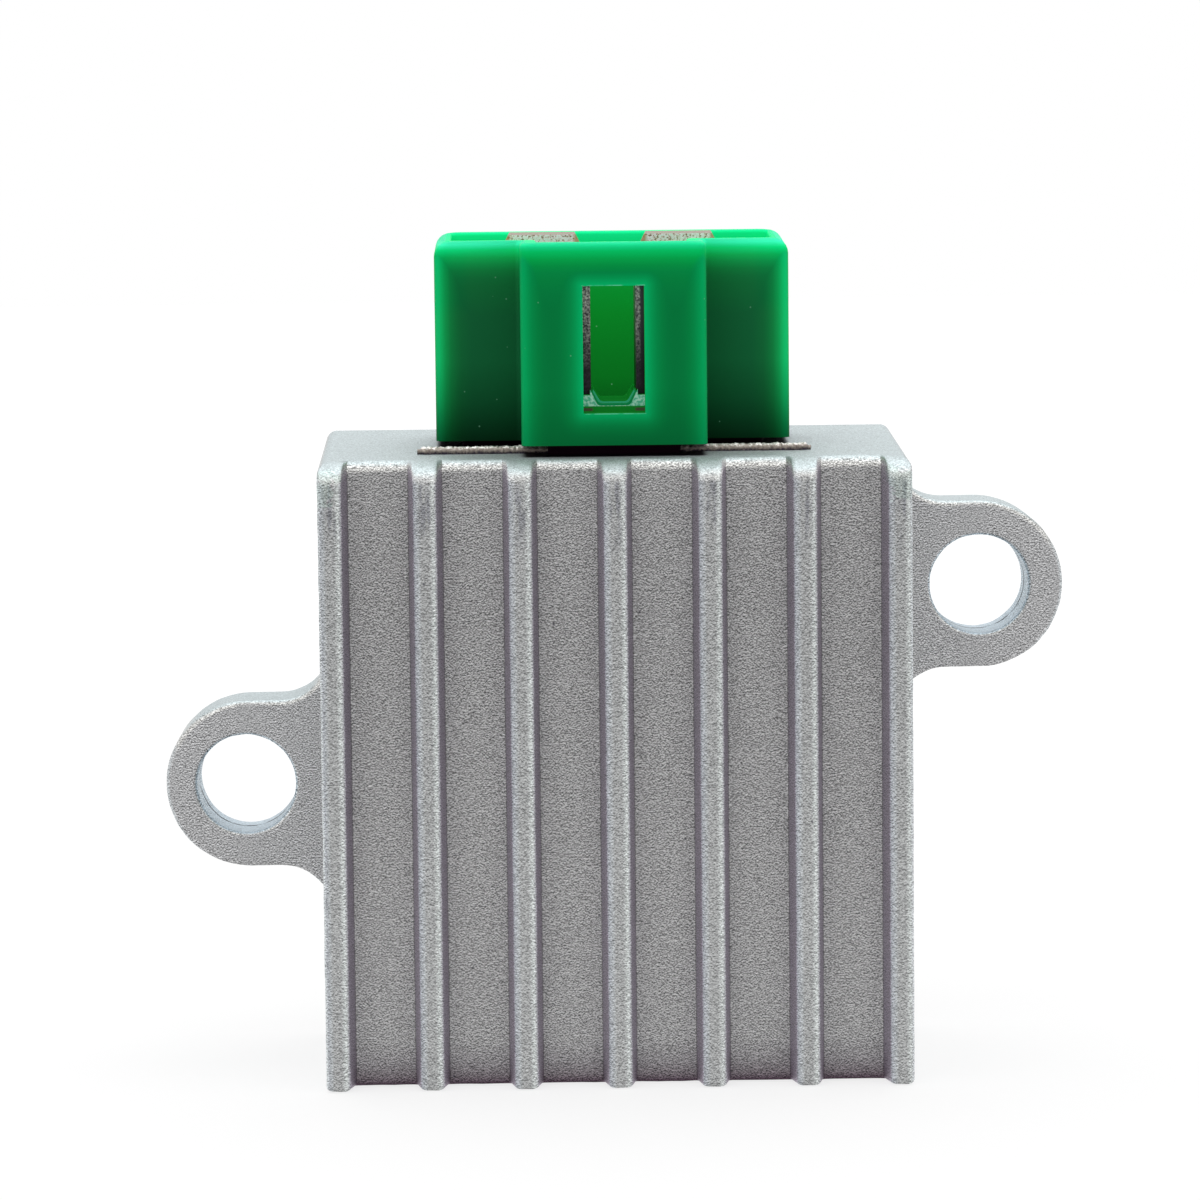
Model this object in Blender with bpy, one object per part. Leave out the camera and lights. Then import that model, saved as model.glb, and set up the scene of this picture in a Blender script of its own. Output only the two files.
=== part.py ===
"""Voltage regulator rectifier for a small engine.

A finned die-cast aluminium housing with two mounting ears, potted from behind
over a circuit board, with a green four-blade connector standing on its top.
Fins face -Y, the ears and the open back lie at +Y, and the connector is up (+Z).
"""

import math

import bmesh
import bpy
from mathutils import Vector

MM = 0.001

# Housing casting
FIN_COUNT = 7
BODY_WIDTH = 46.92 * MM
FIN_FACE = 1.92 * MM
FIN_HEIGHT = 2.48 * MM
FIN_DRAFT = 0.40 * MM
FIN_EDGE_RADIUS = 0.35 * MM
FIN_ROOT_RADIUS = 0.30 * MM
FIN_TOP_SLOPE = 1.76 * MM
FIN_TOP_LIP = 0.35 * MM
FIN_BOTTOM_RADIUS = 0.5 * MM
BODY_DEPTH = 25.0 * MM
BODY_HEIGHT = 50.17 * MM
TOP_DRAFT = 0.95 * MM
SIDE_DRAFT = 0.2 * MM
TOP_EDGE_RADIUS = 0.95 * MM
TOP_CORNER_RADIUS = 0.9 * MM
FRONT_PLATE = 2.8 * MM
SIDE_WALL = 2.2 * MM
TOP_WALL = 2.3 * MM
BASE_WALL = 2.2 * MM
CAVITY_DRAFT = 0.4 * MM
CAVITY_CORNER_RADIUS = 2.0 * MM

# Mounting ears
EAR_REACH = 6.87 * MM
EAR_RADIUS = 6.95 * MM
EAR_HOLE_RADIUS = 4.1 * MM
EAR_THICKNESS = 5.9 * MM
EAR_FILLET = 4.3 * MM
EAR_EDGE_RADIUS = 0.5 * MM
EAR_ROOT_DEPTH = 1.1 * MM
LEFT_EAR_HEIGHT = 22.2 * MM
EAR_RISE = 15.95 * MM

# Gate scar across the top, in front of the connector
SCAR_OVERHANG = 1.45 * MM
SCAR_WIDTH = 0.55 * MM
SCAR_HEIGHT = 0.3 * MM
SCAR_DRAFT = 0.14 * MM
SCAR_AHEAD = 2.2 * MM

# Connector shroud, T-shaped seen from above
SHROUD_CENTRE = 0.1 * MM
CROSSBAR_WIDTH = 28.6 * MM
CROSSBAR_DEPTH = 10.0 * MM
STEM_WIDTH = 14.8 * MM
STEM_LENGTH = 6.7 * MM
STEM_SETBACK = 3.8 * MM
SHROUD_HEIGHT = 16.15 * MM
RIM_RISE = 0.5 * MM
SHROUD_WALL = 1.35 * MM
SHROUD_FLOOR = 3.0 * MM
SHROUD_CORNER_RADIUS = 0.8 * MM
SHROUD_INNER_RADIUS = 0.4 * MM
RIM_RADIUS = 0.45 * MM
RIM_SIDE_RADIUS = 1.25 * MM
WINDOW_WIDTH = 4.9 * MM
WINDOW_HEIGHT = 10.1 * MM
WINDOW_SILL = 2.55 * MM
SEAT_HEIGHT = 0.6 * MM
SEAT_MARGIN = 0.9 * MM
NECK_INSET = 2.1 * MM
NECK_LENGTH = 4.35 * MM
DAM_STEP = 0.3 * MM
SHROUD_GAP = 0.2 * MM

# Blade terminals
BLADE_WIDTH = 6.3 * MM
BLADE_THICKNESS = 0.8 * MM
BLADE_TIP_WIDTH = 5.3 * MM
BLADE_TIP_THICKNESS = 0.3 * MM
BLADE_TIP_LENGTH = 1.0 * MM
BLADE_BEVEL_HEIGHT = 0.22 * MM
STEM_BLADE_DROP = 0.9 * MM
CROSSBAR_BLADE_SPACING = 11.1 * MM
STEM_BLADE_SPACING = 4.4 * MM
STEM_BLADE_SETBACK = 1.35 * MM
TAIL_WIDTH = 3.0 * MM
TAIL_OVERLAP = 3.5 * MM
FOOT_HEIGHT = 2.2 * MM

# Circuit board and the pieces on it
CLEARANCE = 0.3 * MM
POTTING_RECESS = 0.6 * MM
BOARD_SIDE_MARGIN = 3.06 * MM
BOARD_BASE_MARGIN = 4.22 * MM
BOARD_THICKNESS = 1.6 * MM
BOARD_BELOW_NECK = 1.4 * MM
PAD_THICKNESS = 0.4 * MM
PAD_SIDE_MARGIN = 3.16 * MM
PAD_MARGIN = 1.2 * MM
PACKAGE_COUNT = 3
PACKAGE_GAP = 1.4 * MM
PACKAGE_THICKNESS = 4.5 * MM
PACKAGE_HEIGHT = 9.2 * MM
PACKAGE_CHAMFER = 0.4 * MM
PACKAGE_BASE = 10.4 * MM
TAB_HEIGHT = 6.3 * MM
TAB_THICKNESS = 1.3 * MM
TAB_HOLE_RADIUS = 1.8 * MM
TAB_CHAMFER = 0.8 * MM
LEG_PITCH = 2.54 * MM
LEG_WIDTH = 0.8 * MM
LEG_THICKNESS = 0.5 * MM
LEG_DROP = 2.4 * MM
LEG_SETBACK = 2.4 * MM
RESISTOR_RADIUS = 1.2 * MM
RESISTOR_LENGTH = 6.3 * MM
ZENER_RADIUS = 1.35 * MM
ZENER_LENGTH = 5.2 * MM
DIODE_RADIUS = 0.95 * MM
DIODE_LENGTH = 3.9 * MM
WIRE_RADIUS = 0.3 * MM
WIRE_FOOT_RADIUS = 0.27 * MM
WIRE_REACH = 1.5 * MM
STANDOFF = 0.3 * MM
CAPACITOR_RADIUS = 2.5 * MM
CAPACITOR_COVER = 2.3 * MM
TRANSISTOR_RADIUS = 2.3 * MM
TRANSISTOR_FLAT = 1.3 * MM
TRANSISTOR_HEIGHT = 4.6 * MM
TRANSISTOR_STANDOFF = 1.5 * MM
COLUMN_EDGE = 0.35 * MM
ROW_SPACING = 5.2 * MM
FIRST_ROW = 5.0 * MM

# How finely round stretches are divided
EAR_HOLE_SIDES = 40
EAR_END_STEPS = 20
EAR_FILLET_STEPS = 6
CAVITY_CORNER_STEPS = 4
SHROUD_CORNER_STEPS = 3
FOOT_STEPS = 2
TOP_STEPS = 4
CAN_SIDES = 24
TAB_HOLE_SIDES = 20
BODY_SIDES = 16
WIRE_SIDES = 8
FLAT_ARC_STEPS = 14
SHARP_ANGLE = 35
FULL_TURN = 360
RIM_BEND_REACH = 0.01 * MM

# Places worked out from the sizes above
FIN_NOSE = -BODY_DEPTH / 2
BACK = BODY_DEPTH / 2
GROOVE_FLOOR = FIN_NOSE + FIN_HEIGHT
CAVITY_FLOOR = GROOVE_FLOOR + FRONT_PLATE
FIN_PITCH = (BODY_WIDTH - FIN_FACE) / (FIN_COUNT - 1)
HALF_NOSE = BODY_WIDTH / 2
HALF_BACK = HALF_NOSE + SIDE_DRAFT
POTTING_FACE = BACK - POTTING_RECESS
CAVITY_TOP = BODY_HEIGHT + TOP_DRAFT - TOP_WALL
STEM_FRONT = FIN_NOSE + STEM_SETBACK
CROSSBAR_FRONT = STEM_FRONT + STEM_LENGTH
CROSSBAR_REAR = CROSSBAR_FRONT + CROSSBAR_DEPTH
TOP_SLOPE = TOP_DRAFT / (BACK - GROOVE_FLOOR)
SHROUD_BASE = BODY_HEIGHT + TOP_SLOPE * (CROSSBAR_REAR - GROOVE_FLOOR) + SHROUD_GAP
SHROUD_FLOOR_TOP = SHROUD_BASE + SHROUD_FLOOR
NECK_BASE = SHROUD_BASE - NECK_LENGTH
RIM_BEND = CROSSBAR_FRONT + SHROUD_WALL + SHROUD_INNER_RADIUS
BLADE_TIP = SHROUD_BASE + SHROUD_HEIGHT + RIM_RISE
CROSSBAR_BLADE_Y = CROSSBAR_FRONT + CROSSBAR_DEPTH / 2
BOARD_BACK = CROSSBAR_BLADE_Y - BLADE_THICKNESS / 2 - CLEARANCE
BOARD_FRONT = BOARD_BACK - BOARD_THICKNESS
BOARD_TOP = NECK_BASE - BOARD_BELOW_NECK
BOARD_BASE = BASE_WALL + CAVITY_DRAFT + BOARD_BASE_MARGIN
CAVITY_HALF = HALF_BACK - SIDE_WALL - CAVITY_DRAFT
BOARD_HALF = CAVITY_HALF - BOARD_SIDE_MARGIN
COLUMN_SPACING = BOARD_HALF - COLUMN_EDGE - WIRE_REACH - RESISTOR_LENGTH / 2
PART_SEAT = BOARD_BACK + CLEARANCE
CAPACITOR_TOP = POTTING_FACE - CAPACITOR_COVER
PAD_FRONT = CAVITY_FLOOR + CLEARANCE
PAD_BACK = PAD_FRONT + PAD_THICKNESS
PACKAGE_Z = BOARD_BASE + PACKAGE_BASE
PAD_HALF = CAVITY_HALF - PAD_SIDE_MARGIN
PACKAGE_PITCH = (2 * (PAD_HALF - PAD_MARGIN) + PACKAGE_GAP) / PACKAGE_COUNT
PACKAGE_WIDTH = PACKAGE_PITCH - PACKAGE_GAP
PAD_BASE = PACKAGE_Z - PAD_MARGIN
PAD_TOP = PACKAGE_Z + PACKAGE_HEIGHT + TAB_HEIGHT + PAD_MARGIN
STEM_BLADE_FRONT = STEM_FRONT + SHROUD_WALL + STEM_BLADE_SETBACK
STEM_BLADE_Y = STEM_BLADE_FRONT + BLADE_WIDTH / 2

COLOURS = {
    "cast_aluminium": ((0.42, 0.42, 0.43), 0.55, 0.85),
    "green_nylon": ((0.0, 0.30, 0.10), 0.4, 0.0),
    "tinned_brass": ((0.62, 0.58, 0.52), 0.35, 0.9),
    "black_epoxy": ((0.012, 0.012, 0.013), 0.35, 0.0),
    "board_laminate": ((0.35, 0.30, 0.12), 0.6, 0.0),
    "silicone_pad": ((0.35, 0.37, 0.38), 0.8, 0.0),
    "package_epoxy": ((0.02, 0.02, 0.02), 0.5, 0.0),
    "resistor_lacquer": ((0.55, 0.42, 0.28), 0.45, 0.0),
    "diode_glass": ((0.45, 0.12, 0.05), 0.2, 0.0),
    "capacitor_sleeve": ((0.03, 0.04, 0.10), 0.3, 0.0),
}


def clear_scene():
    for obj in list(bpy.data.objects):
        bpy.data.objects.remove(obj, do_unlink=True)


def material(name):
    """The Principled material of this name, made the first time it is asked for."""
    found = bpy.data.materials.get(name)
    if found:
        return found
    colour, roughness, metallic = COLOURS[name]
    made = bpy.data.materials.new(name)
    made.use_nodes = True
    shader = made.node_tree.nodes["Principled BSDF"]
    shader.inputs["Base Color"].default_value = (*colour, 1)
    shader.inputs["Roughness"].default_value = roughness
    shader.inputs["Metallic"].default_value = metallic
    made.diffuse_color = (*colour, 1)
    return made


def add_object(name, bm, finish):
    """An object from a bmesh, smooth where its faces meet at a shallow angle."""
    mesh = bpy.data.meshes.new(name)
    bm.to_mesh(mesh)
    bm.free()
    mesh.shade_smooth()
    mesh.set_sharp_from_angle(angle=math.radians(SHARP_ANGLE))
    obj = bpy.data.objects.new(name, mesh)
    obj.data.materials.append(material(finish))
    bpy.context.scene.collection.objects.link(obj)
    return obj


def loft(rings):
    """A closed solid through rings of as many points each, capped at both ends."""
    bm = bmesh.new()
    rows = [[bm.verts.new(point) for point in ring] for ring in rings]
    count = len(rings[0])
    for lower, upper in zip(rows, rows[1:]):
        for i in range(count):
            j = (i + 1) % count
            bm.faces.new((lower[i], lower[j], upper[j], upper[i]))
    bm.faces.new(list(reversed(rows[0])))
    bm.faces.new(rows[-1])
    bmesh.ops.recalc_face_normals(bm, faces=bm.faces)
    return bm


def level(outline, z):
    return [Vector((x, y, z)) for x, y in outline]


def upright(outline, y):
    """An outline in X and Z, standing at this Y."""
    return [Vector((x, y, z)) for x, z in outline]


def box(low, high):
    (x0, y0, z0), (x1, y1, z1) = low, high
    base = [(x0, y0), (x1, y0), (x1, y1), (x0, y1)]
    return loft([level(base, z0), level(base, z1)])


def rod(start, end, radius, sides=BODY_SIDES):
    """A round bar from start to end."""
    start, end = Vector(start), Vector(end)
    turn = (end - start).to_track_quat("Z", "Y")
    ring = [
        turn @ Vector((radius * math.cos(a), radius * math.sin(a), 0))
        for a in (math.tau * i / sides for i in range(sides))
    ]
    return loft([[start + p for p in ring], [end + p for p in ring]])


def quarter(steps):
    """Pairs that go round a quarter circle: how far in, and how far still to go up."""
    angles = (math.pi / 2 * i / steps for i in range(steps + 1))
    return [(1 - math.cos(a), 1 - math.sin(a)) for a in angles]


def arc(centre, radius, start, end, segments):
    """Points from angle start to angle end, in degrees, about a centre in the plane."""
    points = []
    for i in range(segments + 1):
        a = math.radians(start + (end - start) * i / segments)
        points.append((centre[0] + radius * math.cos(a), centre[1] + radius * math.sin(a)))
    return points


def rounded(corners, segments=2):
    """A closed outline whose corners, given as (x, y, radius), become tangent arcs."""
    points = []
    count = len(corners)
    for i, (x, y, radius) in enumerate(corners):
        here = Vector((x, y))
        back = (Vector(corners[i - 1][:2]) - here).normalized()
        ahead = (Vector(corners[(i + 1) % count][:2]) - here).normalized()
        if radius <= 0:
            points.append((x, y))
            continue
        half = back.angle(ahead) / 2
        centre = here + (back + ahead).normalized() * (radius / math.sin(half))
        first = here + back * (radius / math.tan(half)) - centre
        last = here + ahead * (radius / math.tan(half)) - centre
        sweep = first.angle_signed(last)
        for k in range(segments + 1):
            a = math.atan2(first.y, first.x) - sweep * k / segments
            points.append((centre.x + radius * math.cos(a), centre.y + radius * math.sin(a)))
    return points


def boolean(target, bm, operation):
    """Cuts a bmesh from an object, or joins it on, and keeps the result as its mesh."""
    tool = add_object("tool", bm, target.data.materials[0].name)
    modifier = target.modifiers.new(operation.title(), "BOOLEAN")
    modifier.object = tool
    modifier.operation = operation
    modifier.solver = "EXACT"
    graph = bpy.context.evaluated_depsgraph_get()
    made = bpy.data.meshes.new_from_object(target.evaluated_get(graph))
    target.modifiers.clear()
    target.data = made
    bpy.data.objects.remove(tool, do_unlink=True)


def cut(target, bm):
    boolean(target, bm, "DIFFERENCE")


def join(target, bm):
    boolean(target, bm, "UNION")


def top_height(y):
    """The height of the sloping top surface at this depth."""
    return BODY_HEIGHT + TOP_SLOPE * (y - GROOVE_FLOOR)


def finned_outline():
    """The body's section seen from above: plain sides and back, and fins along the front."""
    corners = [(-HALF_BACK, BACK, 0)]
    for i in range(FIN_COUNT):
        centre = (i - (FIN_COUNT - 1) / 2) * FIN_PITCH
        foot = FIN_FACE / 2 + FIN_DRAFT
        if i > 0:
            corners.append((centre - foot, GROOVE_FLOOR, FIN_ROOT_RADIUS))
        corners.append((centre - FIN_FACE / 2, FIN_NOSE, FIN_EDGE_RADIUS))
        corners.append((centre + FIN_FACE / 2, FIN_NOSE, FIN_EDGE_RADIUS))
        if i < FIN_COUNT - 1:
            corners.append((centre + foot, GROOVE_FLOOR, FIN_ROOT_RADIUS))
    corners.append((HALF_BACK, BACK, 0))
    return rounded(corners)


def end_point(x, y, across, nose, floor, side):
    """Where a point of the finned outline has gone, part of the way round the body's end.

    across runs from 0 on the straight body to 1 on the end face. nose, floor and side
    each hold how far the fins' edges, the front plate and the sides move in, and how far
    from the end face they start. The answer is the new x and y, and that start.
    """
    ahead = min(max((GROOVE_FLOOR - y) / FIN_HEIGHT, 0), 1)
    inner_edge = HALF_NOSE - FIN_FACE - FIN_DRAFT
    outward = min(max((abs(x) - inner_edge) / (HALF_NOSE - inner_edge), 0), 1)
    inset, drop = 0, 0
    if y < CAVITY_FLOOR:
        inset = floor[0] + (nose[0] - floor[0]) * ahead
        drop = floor[1] + (nose[1] - floor[1]) * ahead
    new_x = x - math.copysign(side[0] * outward * across, x)
    return new_x, y + inset * across, max(drop, side[1] * outward)


def body_mesh():
    """The finned block, with its fins sloping into the top and rounded at the foot."""
    outline = finned_outline()
    rings = []
    foot, plate_foot = (FIN_BOTTOM_RADIUS,) * 2, (FIN_BOTTOM_RADIUS / 2,) * 2
    for across, along in reversed(quarter(FOOT_STEPS)):
        ring = []
        for x, y in outline:
            px, py, drop = end_point(x, y, across, foot, plate_foot, foot)
            ring.append(Vector((px, py, drop * along)))
        rings.append(ring)
    nose = (FIN_HEIGHT + TOP_EDGE_RADIUS - FIN_TOP_LIP, FIN_TOP_SLOPE)
    floor = (TOP_EDGE_RADIUS,) * 2
    side = (TOP_CORNER_RADIUS,) * 2
    for across, along in quarter(TOP_STEPS):
        ring = []
        for x, y in outline:
            px, py, drop = end_point(x, y, across, nose, floor, side)
            end_y = end_point(x, y, 1, nose, floor, side)[1]
            ring.append(Vector((px, py, top_height(end_y) - drop * along)))
        rings.append(ring)
    return loft(rings)


def cavity_outline(inset):
    """The pocket's mouth or floor, in X and Z, drawn in by the draft."""
    x = HALF_BACK - SIDE_WALL - inset
    low, high = BASE_WALL + inset, CAVITY_TOP - inset
    r = CAVITY_CORNER_RADIUS
    return rounded([(-x, low, r), (x, low, r), (x, high, r), (-x, high, r)], CAVITY_CORNER_STEPS)


def cavity_mesh(shrink, front, back):
    """The drafted pocket from one depth to another, made smaller all round by shrink."""
    rings = []
    for y in (front, back):
        share = (BACK - y) / (BACK - CAVITY_FLOOR)
        rings.append(upright(cavity_outline(shrink + CAVITY_DRAFT * share), y))
    return loft(rings)


def ear_outline(side, height, inset):
    """A round end, two flats and two hollow fillets that run out into the body's side."""
    root = HALF_NOSE
    reach = HALF_BACK + EAR_REACH - root
    fillet, edge = EAR_FILLET + inset, EAR_RADIUS + EAR_FILLET
    run_out = 180 - math.degrees(math.asin(inset / fillet))
    points = [(-EAR_ROOT_DEPTH, edge)]
    points += arc((EAR_FILLET, edge), fillet, run_out, 270, EAR_FILLET_STEPS)
    points += arc((reach, 0), EAR_RADIUS - inset, 90, -90, EAR_END_STEPS)
    points += arc((EAR_FILLET, -edge), fillet, 90, FULL_TURN - run_out, EAR_FILLET_STEPS)
    points.append((-EAR_ROOT_DEPTH, -edge))
    return [(side * (root + u), height + v) for u, v in points]


def ear_mesh(side, height):
    front = BACK - EAR_THICKNESS
    rings = []
    for across, along in reversed(quarter(FOOT_STEPS)):
        outline = ear_outline(side, height, EAR_EDGE_RADIUS * across)
        rings.append(upright(outline, front + EAR_EDGE_RADIUS * along))
    rings.append(upright(ear_outline(side, height, 0), BACK))
    return loft(rings)


def scar_mesh():
    """The low rough ridge left where the casting's gate was broken off."""
    half = CROSSBAR_WIDTH / 2 + SCAR_OVERHANG
    rear = CROSSBAR_FRONT - SCAR_AHEAD + SCAR_WIDTH / 2
    front = rear - SCAR_WIDTH
    foot, crest = top_height(front) - SCAR_HEIGHT, top_height(front) + SCAR_HEIGHT
    rings = []
    for z, shrink in ((foot, 0), (crest, SCAR_DRAFT)):
        rings.append(level([
            (-half + shrink, front + shrink),
            (half - shrink, front + shrink),
            (half - shrink, rear - shrink),
            (-half + shrink, rear - shrink),
        ], z))
    return loft(rings)


def shroud_outline(inset=0, side_inset=None, rear=CROSSBAR_REAR, radius=SHROUD_CORNER_RADIUS, bend=None):
    """The T seen from above: a crossbar behind and a stem in front.

    bend adds a point on each end of the crossbar, at the depth where the rim starts to rise.
    """
    side = inset if side_inset is None else side_inset
    bar, stem = CROSSBAR_WIDTH / 2 - side, STEM_WIDTH / 2 - inset
    front, bar_front, bar_rear = STEM_FRONT + inset, CROSSBAR_FRONT + inset, rear - inset
    inner = SHROUD_INNER_RADIUS
    bends = [] if bend is None else [(bar, bend, 0), (-bar, bend, 0)]
    outline = rounded([
        (-stem, front, radius), (stem, front, radius),
        (stem, bar_front, inner), (bar, bar_front, radius), *bends[:1],
        (bar, bar_rear, radius), (-bar, bar_rear, radius), *bends[1:],
        (-bar, bar_front, radius), (-stem, bar_front, inner),
    ], SHROUD_CORNER_STEPS)
    return [(x + SHROUD_CENTRE, y) for x, y in outline]


def rim_height(y):
    """The rim is level round the stem and rises along the crossbar's ends to its rear wall."""
    share = max(y - RIM_BEND, 0) / (CROSSBAR_REAR - RIM_BEND)
    return SHROUD_BASE + SHROUD_HEIGHT + RIM_RISE * share


def shroud_mesh():
    """The T-shaped block, with the rim rounded more on its two ends than in front."""
    rings = [level(shroud_outline(bend=RIM_BEND), SHROUD_BASE)]
    for across, along in quarter(TOP_STEPS):
        outline = shroud_outline(RIM_RADIUS * across, RIM_SIDE_RADIUS * across, bend=RIM_BEND)
        ring = []
        for x, y in outline:
            outward = abs(x - SHROUD_CENTRE) > STEM_WIDTH / 2 + SHROUD_INNER_RADIUS
            drop = (RIM_SIDE_RADIUS if outward else RIM_RADIUS) * along
            ring.append(Vector((x, y, rim_height(y) - drop)))
        rings.append(ring)
    bm = loft(rings)
    bm.faces.ensure_lookup_table()
    rim = bm.faces[-1]
    at_bend = [vert for vert in rim.verts if abs(vert.co.y - RIM_BEND) < RIM_BEND_REACH]
    bmesh.utils.face_split(rim, *at_bend)
    return bm


def neck_outline(grow, rear):
    """The narrower T that passes through the housing's top wall."""
    return shroud_outline(NECK_INSET - grow, rear=rear + NECK_INSET - grow, radius=SHROUD_INNER_RADIUS)


def make_housing():
    housing = add_object("housing", body_mesh(), "cast_aluminium")
    for side, height in ((-1, LEFT_EAR_HEIGHT), (1, LEFT_EAR_HEIGHT + EAR_RISE)):
        join(housing, ear_mesh(side, height))
        x = side * (HALF_BACK + EAR_REACH)
        through = EAR_THICKNESS
        start, end = (x, BACK - 2 * through, height), (x, BACK + through, height)
        cut(housing, rod(start, end, EAR_HOLE_RADIUS, EAR_HOLE_SIDES))
    join(housing, scar_mesh())
    cut(housing, cavity_mesh(0, CAVITY_FLOOR, BACK + EAR_THICKNESS))
    notch = neck_outline(CLEARANCE, BACK + EAR_THICKNESS)
    cut(housing, loft([level(notch, CAVITY_TOP - TOP_WALL), level(notch, SHROUD_BASE + TOP_WALL)]))


def stem_blade_x(side):
    return SHROUD_CENTRE + side * STEM_BLADE_SPACING / 2


def crossbar_blade_x(side):
    return SHROUD_CENTRE + side * CROSSBAR_BLADE_SPACING / 2


def make_connector_shell():
    shell = add_object("connector_shell", shroud_mesh(), "green_nylon")
    inside = shroud_outline(SHROUD_WALL)
    cut(shell, loft([level(inside, SHROUD_FLOOR_TOP), level(inside, BLADE_TIP + SHROUD_HEIGHT)]))
    neck = neck_outline(0, CROSSBAR_REAR - NECK_INSET)
    join(shell, loft([level(neck, NECK_BASE), level(neck, SHROUD_BASE + SHROUD_FLOOR / 2)]))
    dam_half = CROSSBAR_WIDTH / 2 - NECK_INSET
    join(shell, box(
        (SHROUD_CENTRE - dam_half, CROSSBAR_BLADE_Y, NECK_BASE + CLEARANCE),
        (SHROUD_CENTRE + dam_half, POTTING_FACE, SHROUD_BASE + DAM_STEP),
    ))
    for side in (-1, 1):
        x, y = stem_blade_x(side), STEM_BLADE_Y
        seat_x, seat_y = BLADE_THICKNESS / 2 + SEAT_MARGIN, BLADE_WIDTH / 2 + SEAT_MARGIN
        join(shell, box(
            (x - seat_x, y - seat_y, SHROUD_FLOOR_TOP - SEAT_HEIGHT),
            (x + seat_x, y + seat_y, SHROUD_FLOOR_TOP + SEAT_HEIGHT),
        ))
    slot_long, slot_thin = TAIL_WIDTH / 2 + CLEARANCE, BLADE_THICKNESS / 2 + CLEARANCE
    low, high = NECK_BASE - NECK_LENGTH, SHROUD_FLOOR_TOP + SHROUD_FLOOR
    for side in (-1, 1):
        x, y = stem_blade_x(side), STEM_BLADE_Y
        cut(shell, box((x - slot_thin, y - slot_long, low), (x + slot_thin, y + slot_long, high)))
        x, y = crossbar_blade_x(side), CROSSBAR_BLADE_Y
        cut(shell, box((x - slot_long, y - slot_thin, low), (x + slot_long, y + slot_thin, high)))
    sill = SHROUD_BASE + WINDOW_SILL
    cut(shell, box(
        (SHROUD_CENTRE - WINDOW_WIDTH / 2, STEM_FRONT - SHROUD_WALL, sill),
        (SHROUD_CENTRE + WINDOW_WIDTH / 2, STEM_FRONT + SHROUD_WALL + CLEARANCE, sill + WINDOW_HEIGHT),
    ))


def blade_mesh(base, tip):
    """A blade standing on the origin's axis, wide in X: its tip narrows, then is bevelled."""
    narrowing = (BLADE_WIDTH - BLADE_TIP_WIDTH) * BLADE_BEVEL_HEIGHT / BLADE_TIP_LENGTH
    rings = []
    for z, width, thickness in (
        (base, BLADE_WIDTH, BLADE_THICKNESS),
        (tip - BLADE_TIP_LENGTH, BLADE_WIDTH, BLADE_THICKNESS),
        (tip - BLADE_BEVEL_HEIGHT, BLADE_TIP_WIDTH + narrowing, BLADE_THICKNESS),
        (tip, BLADE_TIP_WIDTH, BLADE_TIP_THICKNESS),
    ):
        x, y = width / 2, thickness / 2
        rings.append(level([(-x, -y), (x, -y), (x, y), (-x, y)], z))
    return loft(rings)


def move(bm, offset, quarter_turn=False):
    """Shifts a bmesh, first turning it a quarter about the upright axis if asked."""
    for vert in bm.verts:
        x, y, z = vert.co
        vert.co = Vector((-y, x, z) if quarter_turn else (x, y, z)) + Vector(offset)
    return bm


def make_terminals():
    thin = BLADE_THICKNESS / 2
    for side, word in ((-1, "left"), (1, "right")):
        x = crossbar_blade_x(side)
        shoulder = SHROUD_FLOOR_TOP + CLEARANCE
        blade = add_object(
            f"crossbar_terminal_{word}",
            move(blade_mesh(shoulder, BLADE_TIP), (x, CROSSBAR_BLADE_Y, 0)),
            "tinned_brass",
        )
        join(blade, box(
            (x - TAIL_WIDTH / 2, CROSSBAR_BLADE_Y - thin, BOARD_TOP - TAIL_OVERLAP),
            (x + TAIL_WIDTH / 2, CROSSBAR_BLADE_Y + thin, shoulder + BLADE_TIP_LENGTH),
        ))
        x = stem_blade_x(side)
        shoulder = SHROUD_FLOOR_TOP + SEAT_HEIGHT + CLEARANCE
        blade = add_object(
            f"stem_terminal_{word}",
            move(blade_mesh(shoulder, BLADE_TIP - STEM_BLADE_DROP), (x, STEM_BLADE_Y, 0), quarter_turn=True),
            "tinned_brass",
        )
        foot = BOARD_TOP - TAIL_OVERLAP
        join(blade, box(
            (x - thin, STEM_BLADE_Y - TAIL_WIDTH / 2, foot),
            (x + thin, STEM_BLADE_Y + TAIL_WIDTH / 2, shoulder + BLADE_TIP_LENGTH),
        ))
        join(blade, box(
            (x - thin, STEM_BLADE_Y, foot),
            (x + thin, BOARD_FRONT - CLEARANCE, foot + FOOT_HEIGHT),
        ))


def make_board():
    low, high = (-BOARD_HALF, BOARD_FRONT, BOARD_BASE), (BOARD_HALF, BOARD_BACK, BOARD_TOP)
    add_object("circuit_board", box(low, high), "board_laminate")


def make_pad():
    low, high = (-PAD_HALF, PAD_FRONT, PAD_BASE), (PAD_HALF, PAD_BACK, PAD_TOP)
    add_object("insulating_pad", box(low, high), "silicone_pad")


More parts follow.
